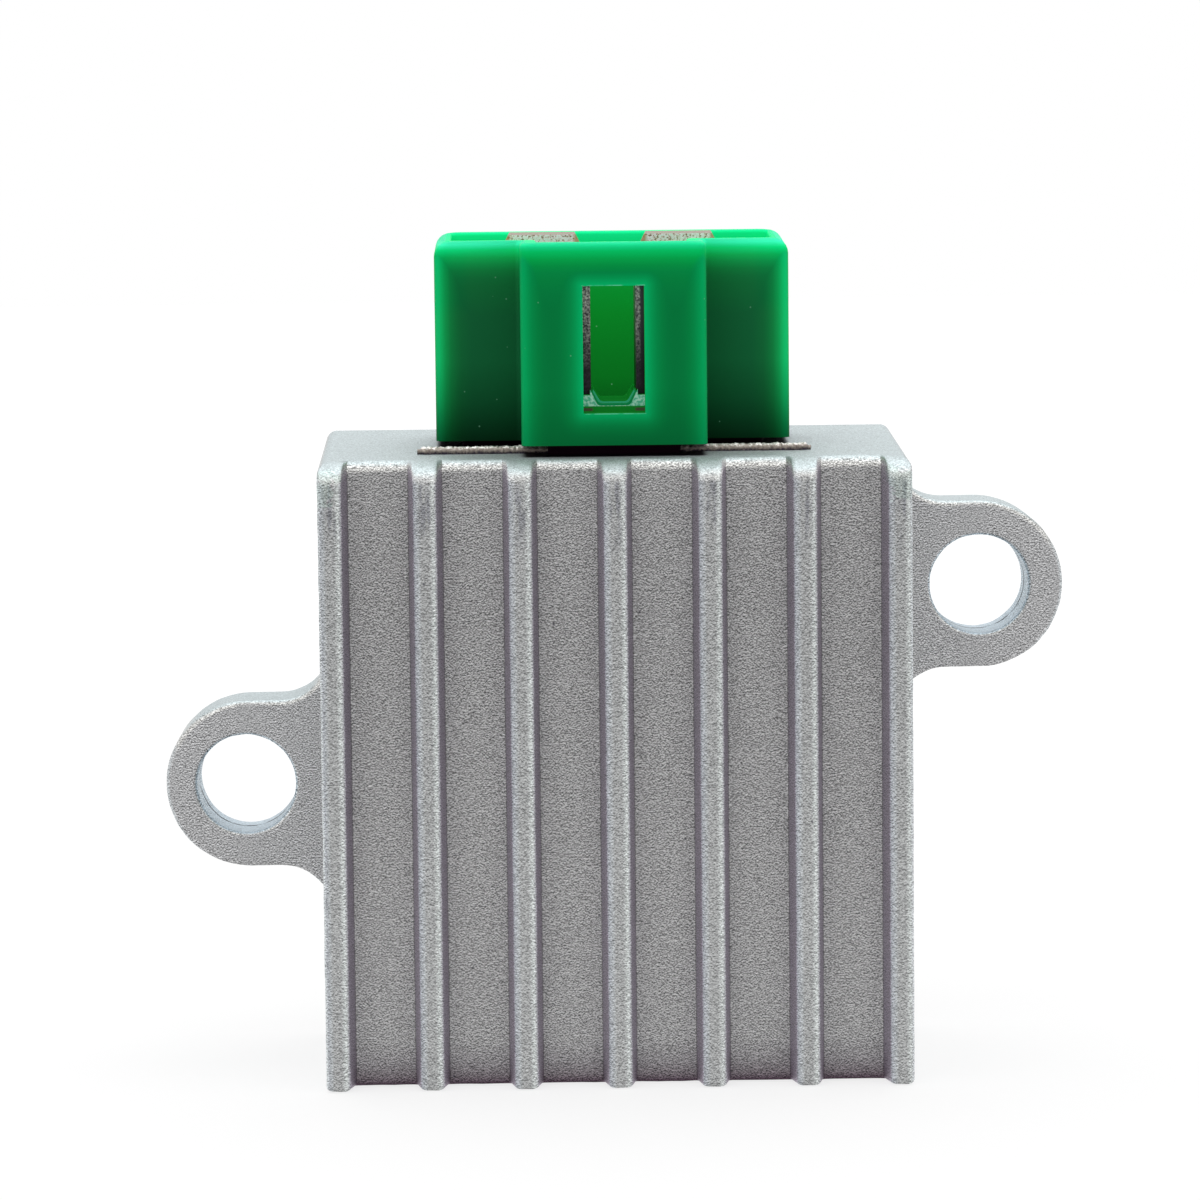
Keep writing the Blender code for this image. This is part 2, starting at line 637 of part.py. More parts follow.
def make_package(name, place, legs):
    """A tab-mounted power device: moulded body, metal tab with a hole, and bent legs."""
    x, z, half = place * PACKAGE_PITCH, PACKAGE_Z, PACKAGE_WIDTH / 2
    front = PAD_BACK + CLEARANCE
    back, bevel = front + PACKAGE_THICKNESS, PACKAGE_CHAMFER
    section = [
        (x - half, front), (x + half, front), (x + half, back - bevel),
        (x + half - bevel, back), (x - half + bevel, back), (x - half, back - bevel),
    ]
    top = z + PACKAGE_HEIGHT
    device = add_object(name, loft([level(section, z), level(section, top)]), "package_epoxy")
    tab_top, bevel = top + TAB_HEIGHT, TAB_CHAMFER
    tab = [
        (x - half, top - bevel), (x + half, top - bevel), (x + half, tab_top - bevel),
        (x + half - bevel, tab_top), (x - half + bevel, tab_top), (x - half, tab_top - bevel),
    ]
    join(device, loft([upright(tab, front), upright(tab, front + TAB_THICKNESS)]))
    hole_z = top + TAB_HEIGHT / 2
    start, end = (x, front - TAB_THICKNESS, hole_z), (x, front + 2 * TAB_THICKNESS, hole_z)
    cut(device, rod(start, end, TAB_HOLE_RADIUS, TAB_HOLE_SIDES))
    leg_front = front + LEG_SETBACK
    for i in legs:
        left, right = x + i * LEG_PITCH - LEG_WIDTH / 2, x + i * LEG_PITCH + LEG_WIDTH / 2
        foot = z - LEG_DROP
        join(device, box((left, leg_front, foot), (right, leg_front + LEG_THICKNESS, z + LEG_WIDTH)))
        join(device, box(
            (left, leg_front + LEG_THICKNESS / 2, foot),
            (right, BOARD_FRONT - CLEARANCE, foot + LEG_THICKNESS),
        ))


def grid_place(column, row):
    """X and Z of a place on the back of the board, its columns counted from the middle."""
    return column * COLUMN_SPACING, BOARD_BASE + FIRST_ROW + row * ROW_SPACING


def make_axial(name, column, row, radius, length, finish):
    """A two-lead component lying along X, with its wires turned down to the board."""
    x, z = grid_place(column, row)
    y = PART_SEAT + STANDOFF + radius
    part = add_object(name, rod((x - length / 2, y, z), (x + length / 2, y, z), radius), finish)
    reach = length / 2 + WIRE_REACH
    join(part, rod((x - reach, y, z), (x + reach, y, z), WIRE_RADIUS, WIRE_SIDES))
    for side in (-1, 1):
        bend = x + side * (reach - WIRE_RADIUS)
        start, end = (bend, y + WIRE_RADIUS / 2, z), (bend, PART_SEAT, z)
        join(part, rod(start, end, WIRE_FOOT_RADIUS, WIRE_SIDES))


def make_capacitor(column, row):
    x, z = grid_place(column, row)
    can = rod((x, PART_SEAT, z), (x, CAPACITOR_TOP, z), CAPACITOR_RADIUS, CAN_SIDES)
    add_object("smoothing_capacitor", can, "capacitor_sleeve")


def make_transistor(column, row):
    """A small D-shaped transistor on three straight legs."""
    x, z = grid_place(column, row)
    seat = PART_SEAT + TRANSISTOR_STANDOFF
    swing = math.degrees(math.acos(TRANSISTOR_FLAT / TRANSISTOR_RADIUS))
    outline = arc((x, z), TRANSISTOR_RADIUS, swing, FULL_TURN - swing, FLAT_ARC_STEPS)
    part = add_object(
        "driver_transistor",
        loft([upright(outline, seat), upright(outline, seat + TRANSISTOR_HEIGHT)]),
        "package_epoxy",
    )
    half = LEG_THICKNESS / 2
    for i in (-1, 0, 1):
        leg = z + i * LEG_PITCH / 2
        join(part, box((x - half, PART_SEAT, leg - half), (x + half, seat + LEG_THICKNESS, leg + half)))


AXIALS = [
    ("gate_resistor_1", -1, 0, RESISTOR_RADIUS, RESISTOR_LENGTH, "resistor_lacquer"),
    ("gate_resistor_2", -1, 1, RESISTOR_RADIUS, RESISTOR_LENGTH, "resistor_lacquer"),
    ("sense_resistor_1", -1, 2, RESISTOR_RADIUS, RESISTOR_LENGTH, "resistor_lacquer"),
    ("sense_resistor_2", -1, 3, RESISTOR_RADIUS, RESISTOR_LENGTH, "resistor_lacquer"),
    ("zener_diode", 1, 0, ZENER_RADIUS, ZENER_LENGTH, "diode_glass"),
    ("signal_diode_1", 1, 1, DIODE_RADIUS, DIODE_LENGTH, "diode_glass"),
    ("signal_diode_2", 1, 2, DIODE_RADIUS, DIODE_LENGTH, "diode_glass"),
]
PACKAGES = [
    ("charging_thyristor", -1, (-1, 0, 1)),
    ("lighting_thyristor", 0, (-1, 0, 1)),
    ("rectifier_diode", 1, (-1, 1)),
]
CAPACITOR_PLACE = (0, 1)
TRANSISTOR_PLACE = (0, 3)


def swollen_box(low, high):
    """A box grown on every side by the clearance, to cut a pocket round what it holds."""
    grow = Vector((CLEARANCE, CLEARANCE, CLEARANCE))
    return box(Vector(low) - grow, Vector(high) + grow)


def make_potting():
    """The cured resin: it fills the pocket round everything that was put in first."""
    block = cavity_mesh(CLEARANCE, CAVITY_FLOOR + CLEARANCE, POTTING_FACE)
    potting = add_object("potting_compound", block, "black_epoxy")
    neck = neck_outline(CLEARANCE, POTTING_FACE + NECK_INSET)
    cut(potting, loft([level(neck, NECK_BASE - CLEARANCE), level(neck, SHROUD_BASE)]))
    cut(potting, swollen_box(
        (-BOARD_HALF, BOARD_FRONT, BOARD_BASE), (BOARD_HALF, BOARD_BACK, BOARD_TOP)
    ))
    thin, foot, neck_top = BLADE_THICKNESS / 2, BOARD_TOP - TAIL_OVERLAP, NECK_BASE + CLEARANCE
    for side in (-1, 1):
        x = crossbar_blade_x(side)
        cut(potting, swollen_box(
            (x - TAIL_WIDTH / 2, BOARD_FRONT, foot),
            (x + TAIL_WIDTH / 2, CROSSBAR_BLADE_Y + thin, neck_top),
        ))
        x = stem_blade_x(side)
        cut(potting, swollen_box(
            (x - thin, STEM_BLADE_Y - TAIL_WIDTH / 2, foot), (x + thin, BOARD_BACK, neck_top)
        ))
    cut(potting, swollen_box(
        (-PAD_HALF, CAVITY_FLOOR - CLEARANCE, PAD_BASE), (PAD_HALF, PAD_BACK, PAD_TOP)
    ))
    front, half = PAD_BACK + CLEARANCE, PACKAGE_WIDTH / 2
    leg_half = LEG_PITCH + LEG_WIDTH / 2
    for _, place, _ in PACKAGES:
        x, top = place * PACKAGE_PITCH, PACKAGE_Z + PACKAGE_HEIGHT
        cut(potting, swollen_box(
            (x - half, PAD_BACK, PACKAGE_Z), (x + half, front + PACKAGE_THICKNESS, top)
        ))
        cut(potting, swollen_box(
            (x - half, PAD_BACK, top - PACKAGE_HEIGHT / 2),
            (x + half, front + TAB_THICKNESS, top + TAB_HEIGHT),
        ))
        cut(potting, swollen_box(
            (x - leg_half, front + LEG_SETBACK, PACKAGE_Z - LEG_DROP),
            (x + leg_half, BOARD_BACK, PACKAGE_Z + LEG_DROP),
        ))
    for _, column, row, radius, length, _ in AXIALS:
        x, z = grid_place(column, row)
        reach = length / 2 + WIRE_REACH
        cut(potting, swollen_box(
            (x - reach, BOARD_FRONT, z - radius),
            (x + reach, PART_SEAT + STANDOFF + 2 * radius, z + radius),
        ))
    for place, radius, top in (
        (CAPACITOR_PLACE, CAPACITOR_RADIUS, CAPACITOR_TOP),
        (TRANSISTOR_PLACE, TRANSISTOR_RADIUS, PART_SEAT + TRANSISTOR_STANDOFF + TRANSISTOR_HEIGHT),
    ):
        x, z = grid_place(*place)
        start, end = (x, BOARD_FRONT, z), (x, top + CLEARANCE, z)
        cut(potting, rod(start, end, radius + CLEARANCE, CAN_SIDES))


def main():
    clear_scene()
    make_housing()
    make_connector_shell()
    make_terminals()
    make_board()
    make_pad()
    for name, place, legs in PACKAGES:
        make_package(name, place, legs)
    for row in AXIALS:
        make_axial(*row)
    make_capacitor(*CAPACITOR_PLACE)
    make_transistor(*TRANSISTOR_PLACE)
    make_potting()


main()
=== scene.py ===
"""Voltage regulator rectifier: the dressed model, its studio and the camera of the photograph.

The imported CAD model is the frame. The housing, the connector shell and the gate scar are
rebuilt finer here and stand for their CAD nodes; the blades and the sealed pieces keep
their CAD shapes and get their real finishes.
"""

import math
from functools import partial, reduce

import bmesh
import bpy
from bpy.props import FloatProperty, FloatVectorProperty, IntProperty, PointerProperty
from mathutils import Matrix, Vector, noise


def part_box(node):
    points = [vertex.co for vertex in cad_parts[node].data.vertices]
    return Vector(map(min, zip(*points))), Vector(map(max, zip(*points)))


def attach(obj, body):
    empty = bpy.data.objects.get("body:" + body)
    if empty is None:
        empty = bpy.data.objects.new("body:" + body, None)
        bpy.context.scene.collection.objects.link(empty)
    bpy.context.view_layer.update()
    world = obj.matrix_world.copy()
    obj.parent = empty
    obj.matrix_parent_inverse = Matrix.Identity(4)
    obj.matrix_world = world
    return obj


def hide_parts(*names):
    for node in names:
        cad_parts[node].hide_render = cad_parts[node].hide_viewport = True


bl_info = {
    "name": "Voltage regulator rectifier",
    "version": (1, 0, 0),
    "blender": (4, 5, 0),
    "location": "View3D > Sidebar > Regulator",
    "description": "Builds a finned, potted voltage regulator with a green blade connector",
    "category": "Add Mesh",
}

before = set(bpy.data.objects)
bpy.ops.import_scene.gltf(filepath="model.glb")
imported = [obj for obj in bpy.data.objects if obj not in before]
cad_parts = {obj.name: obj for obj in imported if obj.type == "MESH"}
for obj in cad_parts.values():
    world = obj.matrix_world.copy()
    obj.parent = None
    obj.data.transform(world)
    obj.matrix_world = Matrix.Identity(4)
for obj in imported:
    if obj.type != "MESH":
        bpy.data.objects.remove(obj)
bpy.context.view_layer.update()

MM = 0.001

# The casting's faces, from the frame
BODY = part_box("housing")
NOSE, BACK = BODY[0][1], BODY[1][1]
FOOT, TOP_REAR = BODY[0][2], BODY[1][2]
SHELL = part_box("connector_shell")
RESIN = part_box("potting_compound")

# Casting
HALF_NOSE = 23.46 * MM
SIDE_DRAFT = 0.2 * MM
TOP_DRAFT = 0.95 * MM
FIN_HEIGHT = 2.48 * MM
FIN_DRAFT = 0.40 * MM
FIN_EDGE_RADIUS = 0.38 * MM
FIN_ROOT_RADIUS = 0.15 * MM
FIN_WING = 0.9 * MM
FIN_SUNK = 1.5 * MM
WING_SUNK = 0.02 * MM
FIN_TOP_SLOPE = 1.76 * MM
FIN_TOP_LIP = 0.35 * MM
FIN_TOP_RINGS = 20
PLATE_STEPS_PER_MM = 2
PLATE_TOP_RADIUS = 0.95 * MM
PLATE_FOOT_RADIUS = 0.25 * MM
CORNER_RADIUS = 0.9 * MM
FOOT_RADIUS = 0.45 * MM
FOOT_SETBACK = 0.35 * MM
FOOT_RINGS = 7
FOOT_ROOT = 0.15
FRONT_PLATE = 2.8 * MM
SIDE_WALL = 2.2 * MM
TOP_WALL = 2.3 * MM
BASE_WALL = 2.2 * MM
CAVITY_DRAFT = 0.4 * MM
CAVITY_CORNER = 2.0 * MM
RING_PITCH = 0.55 * MM
CAST_RUFFLE = 0.035 * MM
CAST_RUFFLE_PITCH = 0.9 * MM
CAST_RUFFLE_SEED = 1

# Ears
EAR_REACH = 6.87 * MM
EAR_RADIUS = 6.95 * MM
EAR_THICKNESS = 5.9 * MM
EAR_FILLET = 4.3 * MM
EAR_EDGE_RADIUS = 0.5 * MM
LEFT_EAR_TRIM = 0.27 * MM
EAR_ROOT_DEPTH = 1.1 * MM
EAR_HEIGHTS = {-1: 22.2 * MM, 1: 38.15 * MM}
HOLE_EDGE_RADIUS = 0.35 * MM
HOLE_SIDES = 72
EAR_EDGE_RINGS = 5
EAR_STEPS = 48
EAR_FILLET_STEPS = 12
SEAM_FROM_BACK = 2.2 * MM
SEAM_DEPTH = 0.07 * MM

# Gate scar on top of the casting, thinner towards its ends
SCAR_LEFT, SCAR_RIGHT = -15.65 * MM, 15.85 * MM
SCAR_Y = -5.3 * MM
SCAR_HEIGHT = 0.76 * MM
SCAR_TAPER = 0.4 * MM
SCAR_END = 0.5
SCAR_GRAIN = 0.22 * MM
SCAR_RAGGEDNESS = 0.42 * MM
SCAR_POINTS = 320
SCAR_SIDES = 12

# Connector shell
SHELL_CENTRE = 0.1 * MM
BAR_HALF = 14.3 * MM
BAR_DEPTH = 10.0 * MM
STEM_HALF = 7.4 * MM
NECK_LENGTH = 4.35 * MM
NECK_INSET = 2.1 * MM
SHELL_FLOOR = 3.0 * MM
RIM_RISE = 0.5 * MM
OUTER_CORNER = 0.8 * MM
INNER_CORNER = 0.4 * MM
RIM_RADIUS = 0.45 * MM
RIM_SIDE_RADIUS = 1.25 * MM
MOUTH_RADIUS = 0.25 * MM
RIM_RINGS = 6
BEND_REACH = 0.01 * MM
MOUTH_RINGS = 4
WALL = 1.35 * MM
WINDOW_HALF = 2.45 * MM
WINDOW_HEIGHT = 10.1 * MM
WINDOW_SILL = 2.55 * MM
DAM_STEP = 0.3 * MM
CLEARANCE = 0.3 * MM
NOTCH_CLEARANCE = 0.02 * MM
BLADE_WIDTH, BLADE_THICKNESS = 6.3 * MM, 0.8 * MM
TAIL_WIDTH = 3.0 * MM
BED_LENGTH = 8.0 * MM
BED_HEIGHT = 0.9 * MM
BED_STEP_BACK = 0.4 * MM
BED_STEPS = 3
TROUGH_TOP, TROUGH_BOTTOM = 1.9 * MM, 1.3 * MM
TROUGH_LIP = 0.45 * MM
TROUGH_STEP = 0.12 * MM
TROUGH_RISE = 0.14 * MM
TROUGH_CORNER = 0.4 * MM
TROUGH_CORNER_STEPS = 4

# Facets on a rounded corner, and the angles that smooth shading runs over, in degrees
CORNER_STEPS = 6
CAVITY_CORNER_STEPS = 8
CAST_SMOOTH = 32
SHELL_SMOOTH = 40
SCAR_SMOOTH = 60

# Studio, in metres: each lamp's name, place, width and watts, and what all of them light
LAMPS = (
    ("Overhead softbox", (0.0, 0.05, 0.45), 0.55, 1.5),
    ("Front fill", (-0.35, -0.55, 0.30), 0.40, 0.3),
)
LAMP_TARGET = (0.0, 0.0, 0.03)
FLOOR_SHEET_HALF = 1.5
FLOOR_SHEET_THICKNESS = 2 * MM
FLOOR_SHEET_GAP = 0.05 * MM
SENSOR_WIDTH = 36.0
NEAREST_SEEN = 0.01

# Places worked out from the sizes above
HALF_BACK = HALF_NOSE + SIDE_DRAFT
POTTING_FACE = RESIN[1][1]
SHELL_BASE = SHELL[0][2] + NECK_LENGTH
SHELL_FLOOR_TOP = SHELL_BASE + SHELL_FLOOR
RIM_REAR = SHELL[1][2]
STEM_FRONT = SHELL[0][1]
BAR_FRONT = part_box("crossbar_terminal_left")[0][1] + BLADE_THICKNESS / 2 - BAR_DEPTH / 2
BAR_REAR = BAR_FRONT + BAR_DEPTH
FLOOR = NOSE + FIN_HEIGHT
TOP_SLOPE = TOP_DRAFT / (BACK - FLOOR)
BODY_TOP = TOP_REAR - TOP_DRAFT
RIM_FRONT = RIM_REAR - RIM_RISE
RIM_BEND = BAR_FRONT + WALL + INNER_CORNER
WINDOW_BASE = SHELL_BASE + WINDOW_SILL


def to_linear(hex_colour):
    """An sRGB hex colour as linear red, green, blue and alpha."""
    channels = [int(hex_colour[i:i + 2], 16) / 255 for i in (1, 3, 5)]
    return tuple(c / 12.92 if c <= 0.04045 else ((c + 0.055) / 1.055) ** 2.4
                 for c in channels) + (1.0,)


def colour_property(name, description, hex_colour):
    """A setting for a colour."""
    return FloatVectorProperty(
        name=name, description=description, default=to_linear(hex_colour)[:3], subtype="COLOR")


def length_property(name, description, size):
    """A setting for a length."""
    return FloatProperty(name=name, description=description, default=size, unit="LENGTH")


def angle_property(name, description, degrees):
    """A setting for an angle."""
    return FloatProperty(
        name=name, description=description, default=math.radians(degrees), subtype="ANGLE")


class CastingSettings(bpy.types.PropertyGroup):
    """Sizes and colours of the die casting."""

    fin_count: IntProperty(
        name="Fins", description="How many fins the front carries", default=7, min=3)
    fin_pitch: length_property("Fin pitch", "Distance from fin to fin", 7.5 * MM)
    fin_face: length_property("Fin face", "Width across a fin's face", 1.92 * MM)
    hole_radius: length_property("Ear hole radius", "Half of the bolt hole", 4.1 * MM)
    grit: length_property("Grit", "Size of the marks that the blasting shot left", 0.135 * MM)
    face_grey: colour_property("Face grey", "The middle of the fins' faces", "#9e9f9f")
    groove_grey: colour_property("Groove grey", "The plate between the fins", "#969696")
    # Upward faces are painted paler, as lit from above
    top_grey: colour_property("Top grey", "Surfaces that face upwards", "#b2bbbd")


class ConnectorSettings(bpy.types.PropertyGroup):
    """Colours of the green connector and its blades."""

    # The greens are painted light and shade: brightest on the rim and the upright edges, where
    # light comes through, darkest in the middle of the crossbar's walls
    rim: colour_property("Rim green", "The lip round the mouth", "#39e6a8")
    edge: colour_property("Edge green", "Where light comes through the upright edges", "#02c070")
    middle: colour_property("Face green", "The stem's faces away from their edges", "#057f40")
    deep: colour_property("Deep green", "The middle of the crossbar's walls", "#15663a")
    tin: colour_property("Tin plate", "The plating on the blades", "#fff0fc")


class StudioSettings(bpy.types.PropertyGroup):
    """Where the camera stands and how bright the studio is."""

    yaw: angle_property("Yaw", "Turn about the upright", 0.91)
    pitch: angle_property("Pitch", "How far the camera looks down", 5.99)
    roll: angle_property("Roll", "Turn about the line of sight", -0.61)
    place: FloatVectorProperty(
        name="Camera place", description="Where the lens stands", subtype="TRANSLATION",
        default=(-7.17 * MM, -383.87 * MM, 78.17 * MM))
    lens: FloatProperty(
        name="Lens", description="Focal length on a 36 mm sensor, in millimetres",
        default=142.04)
    room: FloatProperty(
        name="Room light", description="Strength of the even light from all round", default=0.55)


# What every node of a kind is set to
NODE_SETTINGS = {"Mix": {"data_type": "RGBA"}}


def add_node(tree, kind, *values, stops=(), **named):
    """Adds a node with its settings and links, and returns it.

    A geometry or group node goes by its whole type, any other without its ShaderNode. The
    values fill, in order, the inputs that the settings leave in use. A name that starts with a
    capital is one more input, any other a setting. A node given as a value stands for its
    first output, and a string for a hex colour.
    """
    whole = kind.startswith(("GeometryNode", "NodeGroup"))
    made = tree.nodes.new(kind if whole else "ShaderNode" + kind)
    for name, value in {**NODE_SETTINGS.get(kind, {}), **named}.items():
        if name[0].islower():
            setattr(made, name, value)
    given = list(zip([socket for socket in made.inputs if socket.enabled], values))
    given += [(made.inputs[name.replace("_", " ")], value) for name, value in named.items()
              if name[0].isupper()]
    for socket, value in given:
        if isinstance(value, bpy.types.Node):
            value = next(output for output in value.outputs if output.enabled)
        if isinstance(value, bpy.types.NodeSocket):
            tree.links.new(value, socket)
        else:
            socket.default_value = to_linear(value) if isinstance(value, str) else value
    for i, (place, colour) in enumerate(stops):
        elements = made.color_ramp.elements
        stop = elements[i] if i < 2 else elements.new(place)
        stop.position = place
        stop.color = to_linear(colour) if isinstance(colour, str) else (*colour, 1)
    return made


def new_material(name):
    """An empty node material, and add_node bound to its tree."""
    made = bpy.data.materials.new(name)
    made.use_nodes = True
    made.node_tree.nodes.clear()
    return made, partial(add_node, made.node_tree)


def from_value(add, value, middle):
    """How far a value lies from a middle, either way."""
    return add("Math", add("Math", value, middle, operation="SUBTRACT"), operation="ABSOLUTE")


def nearest(add, point, places):
    """The distance from a point to the nearest of several places."""
    reaches = [add("VectorMath", point, place, operation="DISTANCE") for place in places]
    return reduce(lambda least, reach: add("Math", least, reach, operation="MINIMUM"), reaches)


def within(add, *limits):
    """A mask, 1 where all of several values are past their limits: (value, outside, inside)."""
    share = 1.0
    for value, outside, inside in limits:
        share = add("MapRange", value, outside, inside, 0.0, share)
    return share


def specks(add, point, pitch, share, radius, strength):
    """A mask of small round spots: one in some of the cells of a pattern, a pitch apart."""
    cells = add("TexVoronoi", point, 1 / pitch).outputs
    chosen = add("Math", add("SeparateXYZ", cells["Color"]), share, operation="LESS_THAN")
    chosen = add("Math", chosen, strength, operation="MULTIPLY")
    return add("MapRange", cells["Distance"], radius / pitch, 0.6 * radius / pitch, 0.0, chosen)


def blasted_aluminium(casting):
    """Die-cast aluminium, shot-blasted: dull grey metal, finely pitted all over.

    Each dent of the blast gets a painted pale upper and dark lower half, as if lit from above.
    Faces that point up, the rounded edges and the fins' edges are painted paler as highlights;
    the fins' flanks are tinted purple-grey, and the top under the connector is painted nearly
    black as its shadow.
    """
    made, add = new_material("Shot-blasted die-cast aluminium")
    point = add("TexCoord").outputs["Object"]
    x, y, z = add("SeparateXYZ", point).outputs
    facing_x, _, facing_z = add("SeparateXYZ", add("NewGeometry").outputs["Normal"]).outputs

    # The dents: fine speckle, with painted light from above: the same speckle a little higher is
    # taken off, so each dent is painted pale above and dark below
    grit = casting.grit
    high = add("TexNoise", point, 1 / grit)
    low = add("TexNoise", add("Mapping", point, (0, 0, 0.3 * grit)), 1 / grit)
    speckle_and_relief_shade = add("Math", high, 1.6, -0.3, operation="MULTIPLY_ADD")
    speckle_and_relief_shade = add("Math", speckle_and_relief_shade, low, operation="SUBTRACT")

    # Across the fins: the tone follows how far a point lies from the nearest fin's middle, with
    # painted highlights near both edges of each fin's face, the right-hand one brightest
    pitch, half_face = casting.fin_pitch, casting.fin_face / 2
    turns = add("Math", x, pitch, operation="DIVIDE")
    across = add("Math", turns, add("Math", turns, operation="ROUND"), operation="SUBTRACT")
    from_middle = add("Math", across, operation="ABSOLUTE")
    face, groove = casting.face_grey, casting.groove_grey
    stops = ((-1.38, groove), (-1.3, "#a39ba7"), (-1.0, "#aaa2ae"), (-0.86, "#a0a3a9"),
             (-0.5, "#a8abad"), (-0.3, face), (0.3, face), (0.68, "#bec2c1"),
             (0.9, "#a8a8ac"), (1.0, "#a39ba7"), (1.3, "#9b939f"), (1.38, groove))
    profile = add("ValToRGB", add("Math", across, 0.5, operation="ADD"),
                  stops=[(0.5 + place * MM / pitch, colour) for place, colour in stops])
    off_fin = add("MapRange", from_middle, half_face / pitch, (half_face + FIN_DRAFT) / pitch)
    in_front = add("MapRange", y, FLOOR + 0.5 * MM, FLOOR + 0.15 * MM)
    tone = add("Mix", in_front, "#aaaaab", profile)

    # Painted shade: the grooves darken towards their feet
    fade = add("ValToRGB", add("MapRange", z, FOOT, FOOT + 3.6 * MM), stops=(
        (0.0, "#6a4862"), (0.1, "#a494a0"), (0.2, "#c2b8bf"), (0.5, "#e3e0e3"), (1.0, "#ffffff")))
    grooved = add("Math", off_fin, in_front, operation="MULTIPLY")
    tone = add("Mix", grooved, tone, fade, blend_type="MULTIPLY")

    # Rub marks down the middle of the fins, and pits, most of them near the feet
    streaks = add("TexNoise", add("Mapping", point, Scale=(1, 1, 0.14)), 1 / (0.35 * MM))
    rubbed = within(add, (in_front, 0, 1), (streaks, 0.45, 0.62), (from_middle, 0.085, 0.045),
                    (z, 42.5 * MM, 46.0 * MM), (z, 49.4 * MM, 48.2 * MM))
    tone = add("Mix", rubbed, tone, "#85868a")
    crowding = add("MapRange", z, 5 * MM, 14 * MM, 0.5, 0.17)
    pitted = specks(add, point, 1.7 * MM, crowding, 0.13 * MM, 0.75)
    tone = add("Mix", pitted, tone, "#4a4a50")

    # Painted light from above: what faces up is pale, and palest on the rounded edges; the
    # rounded outer sides get a painted highlight
    upward = add("ValToRGB", facing_z, stops=(
        (0.0, "#c9c8c4"), (0.5, "#c4c4c2"), (0.8, casting.top_grey)))
    rises = add("MapRange", facing_z, add("MapRange", off_fin, 0, 1, 0.1, 0.02),
                add("MapRange", off_fin, 0, 1, 0.8, 0.34))
    tone = add("Mix", rises, tone, upward)
    outer = within(
        add, (add("Math", facing_x, operation="ABSOLUTE"), 0.35, 0.7), (rises, 1, 0),
        (add("Math", x, operation="ABSOLUTE"), HALF_NOSE - 0.4 * MM, HALF_NOSE - 0.15 * MM))
    tone = add("Mix", outer, tone, "#c2c6c8")

    # Bolt holes: a smooth pale wall with a hairline where the two core pins met
    centres = [(side * (HALF_BACK + EAR_REACH), 0, FOOT + height)
               for side, height in EAR_HEIGHTS.items()]
    wall = add("MapRange", nearest(add, add("CombineXYZ", x, 0, z), centres),
               casting.hole_radius + 0.2 * MM, casting.hole_radius + 0.05 * MM)
    tone = add("Mix", wall, tone, "#c0ccd4")
    seam = within(add, (from_value(add, y, BACK - SEAM_FROM_BACK), 0.3 * MM, 0.12 * MM),
                  (add("TexNoise", point, 1 / (1.5 * MM)), 0.42, 0.5), (wall, 0, 1))
    tone = add("Mix", seam, tone, "#2c2f36")

    # Painted shadow under the connector: the top there is nearly black
    from_shell = from_value(add, x, SHELL_CENTRE)
    shadows = [within(add, (from_shell, half + 0.1 * MM, half - 0.4 * MM),
                      (y, front - 0.1 * MM, front + 0.5 * MM),
                      (z, BODY_TOP - MM, BODY_TOP - 0.5 * MM))
               for half, front in ((BAR_HALF, BAR_FRONT), (STEM_HALF, STEM_FRONT))]
    under = add("Math", *shadows, operation="MAXIMUM")
    tone = add("Mix", under, tone, "#1c1720")

    # Pale green smudges on the corner fins
    smudges = [(-22.6 * MM, NOSE, 49.6 * MM), (-23.2 * MM, NOSE, 47.9 * MM),
               (21.6 * MM, NOSE, 49.4 * MM), (22.7 * MM, NOSE, 48.0 * MM)]
    edge = add("Math", add("TexNoise", point, 1 / (0.8 * MM)), 2.2 * MM, operation="MULTIPLY")
    smudge = add("Math", nearest(add, point, smudges), edge, operation="LESS_THAN")
    smudge = add("Math", smudge, 0.16, operation="MULTIPLY")
    tone = add("Mix", smudge, tone, "#96b8a8")

    contrast = add("MapRange", facing_z, 0.3, 0.9, add("MapRange", off_fin, 0, 1, 3.2, 4.4), 1.2)
    # Painted light: the front is made up to 13 % paler towards the foot, which the light from above
    # reaches less
    painted_lift = add("MapRange", z, FOOT + 38 * MM, FOOT + 12 * MM, 0, 0.13)
    painted_lift = add("Math", painted_lift, in_front, 1.0, operation="MULTIPLY_ADD")
    grain = add("Math", speckle_and_relief_shade, contrast, painted_lift, operation="MULTIPLY_ADD")
    grain = add("Math", grain, 0.2, operation="MAXIMUM")
    shader = add(
        "BsdfPrincipled", Base_Color=add("VectorMath", tone, grain, operation="SCALE"),
        Metallic=0.9, Roughness=add("MapRange", high, 0.3, 0.7, 0.62, 0.48),
        Normal=add("Bump", Height=high, Strength=0.2, Distance=0.05 * MM))
    add("OutputMaterial", shader)
    return made


def broken_metal(base):
    """Aluminium torn off at the gate: a bright ragged crest over rough brown-grey metal."""
    made, add = new_material("Torn aluminium gate")
    point = add("TexCoord").outputs["Object"]
    rough = add("TexNoise", point, 1 / (0.2 * MM), 3.0)
    z = add("SeparateXYZ", point).outputs["Z"]
    # Painted light from above: the crest is painted bright and the underside dark
    height = add("MapRange", z, base - 0.05 * MM, base + SCAR_HEIGHT, -0.4, 0.6)
    height = add("Math", rough, 0.8, height, operation="MULTIPLY_ADD")
    crest = add("ValToRGB", height, stops=(
        (0.08, "#3c3340"), (0.3, "#7b7068"), (0.58, "#a09890"), (0.74, "#f0eeea")))
    shader = add("BsdfPrincipled", Base_Color=crest, Metallic=0.7, Roughness=0.5,
                 Normal=add("Bump", Height=rough, Strength=0.6, Distance=0.06 * MM))
    add("OutputMaterial", shader)
    return made


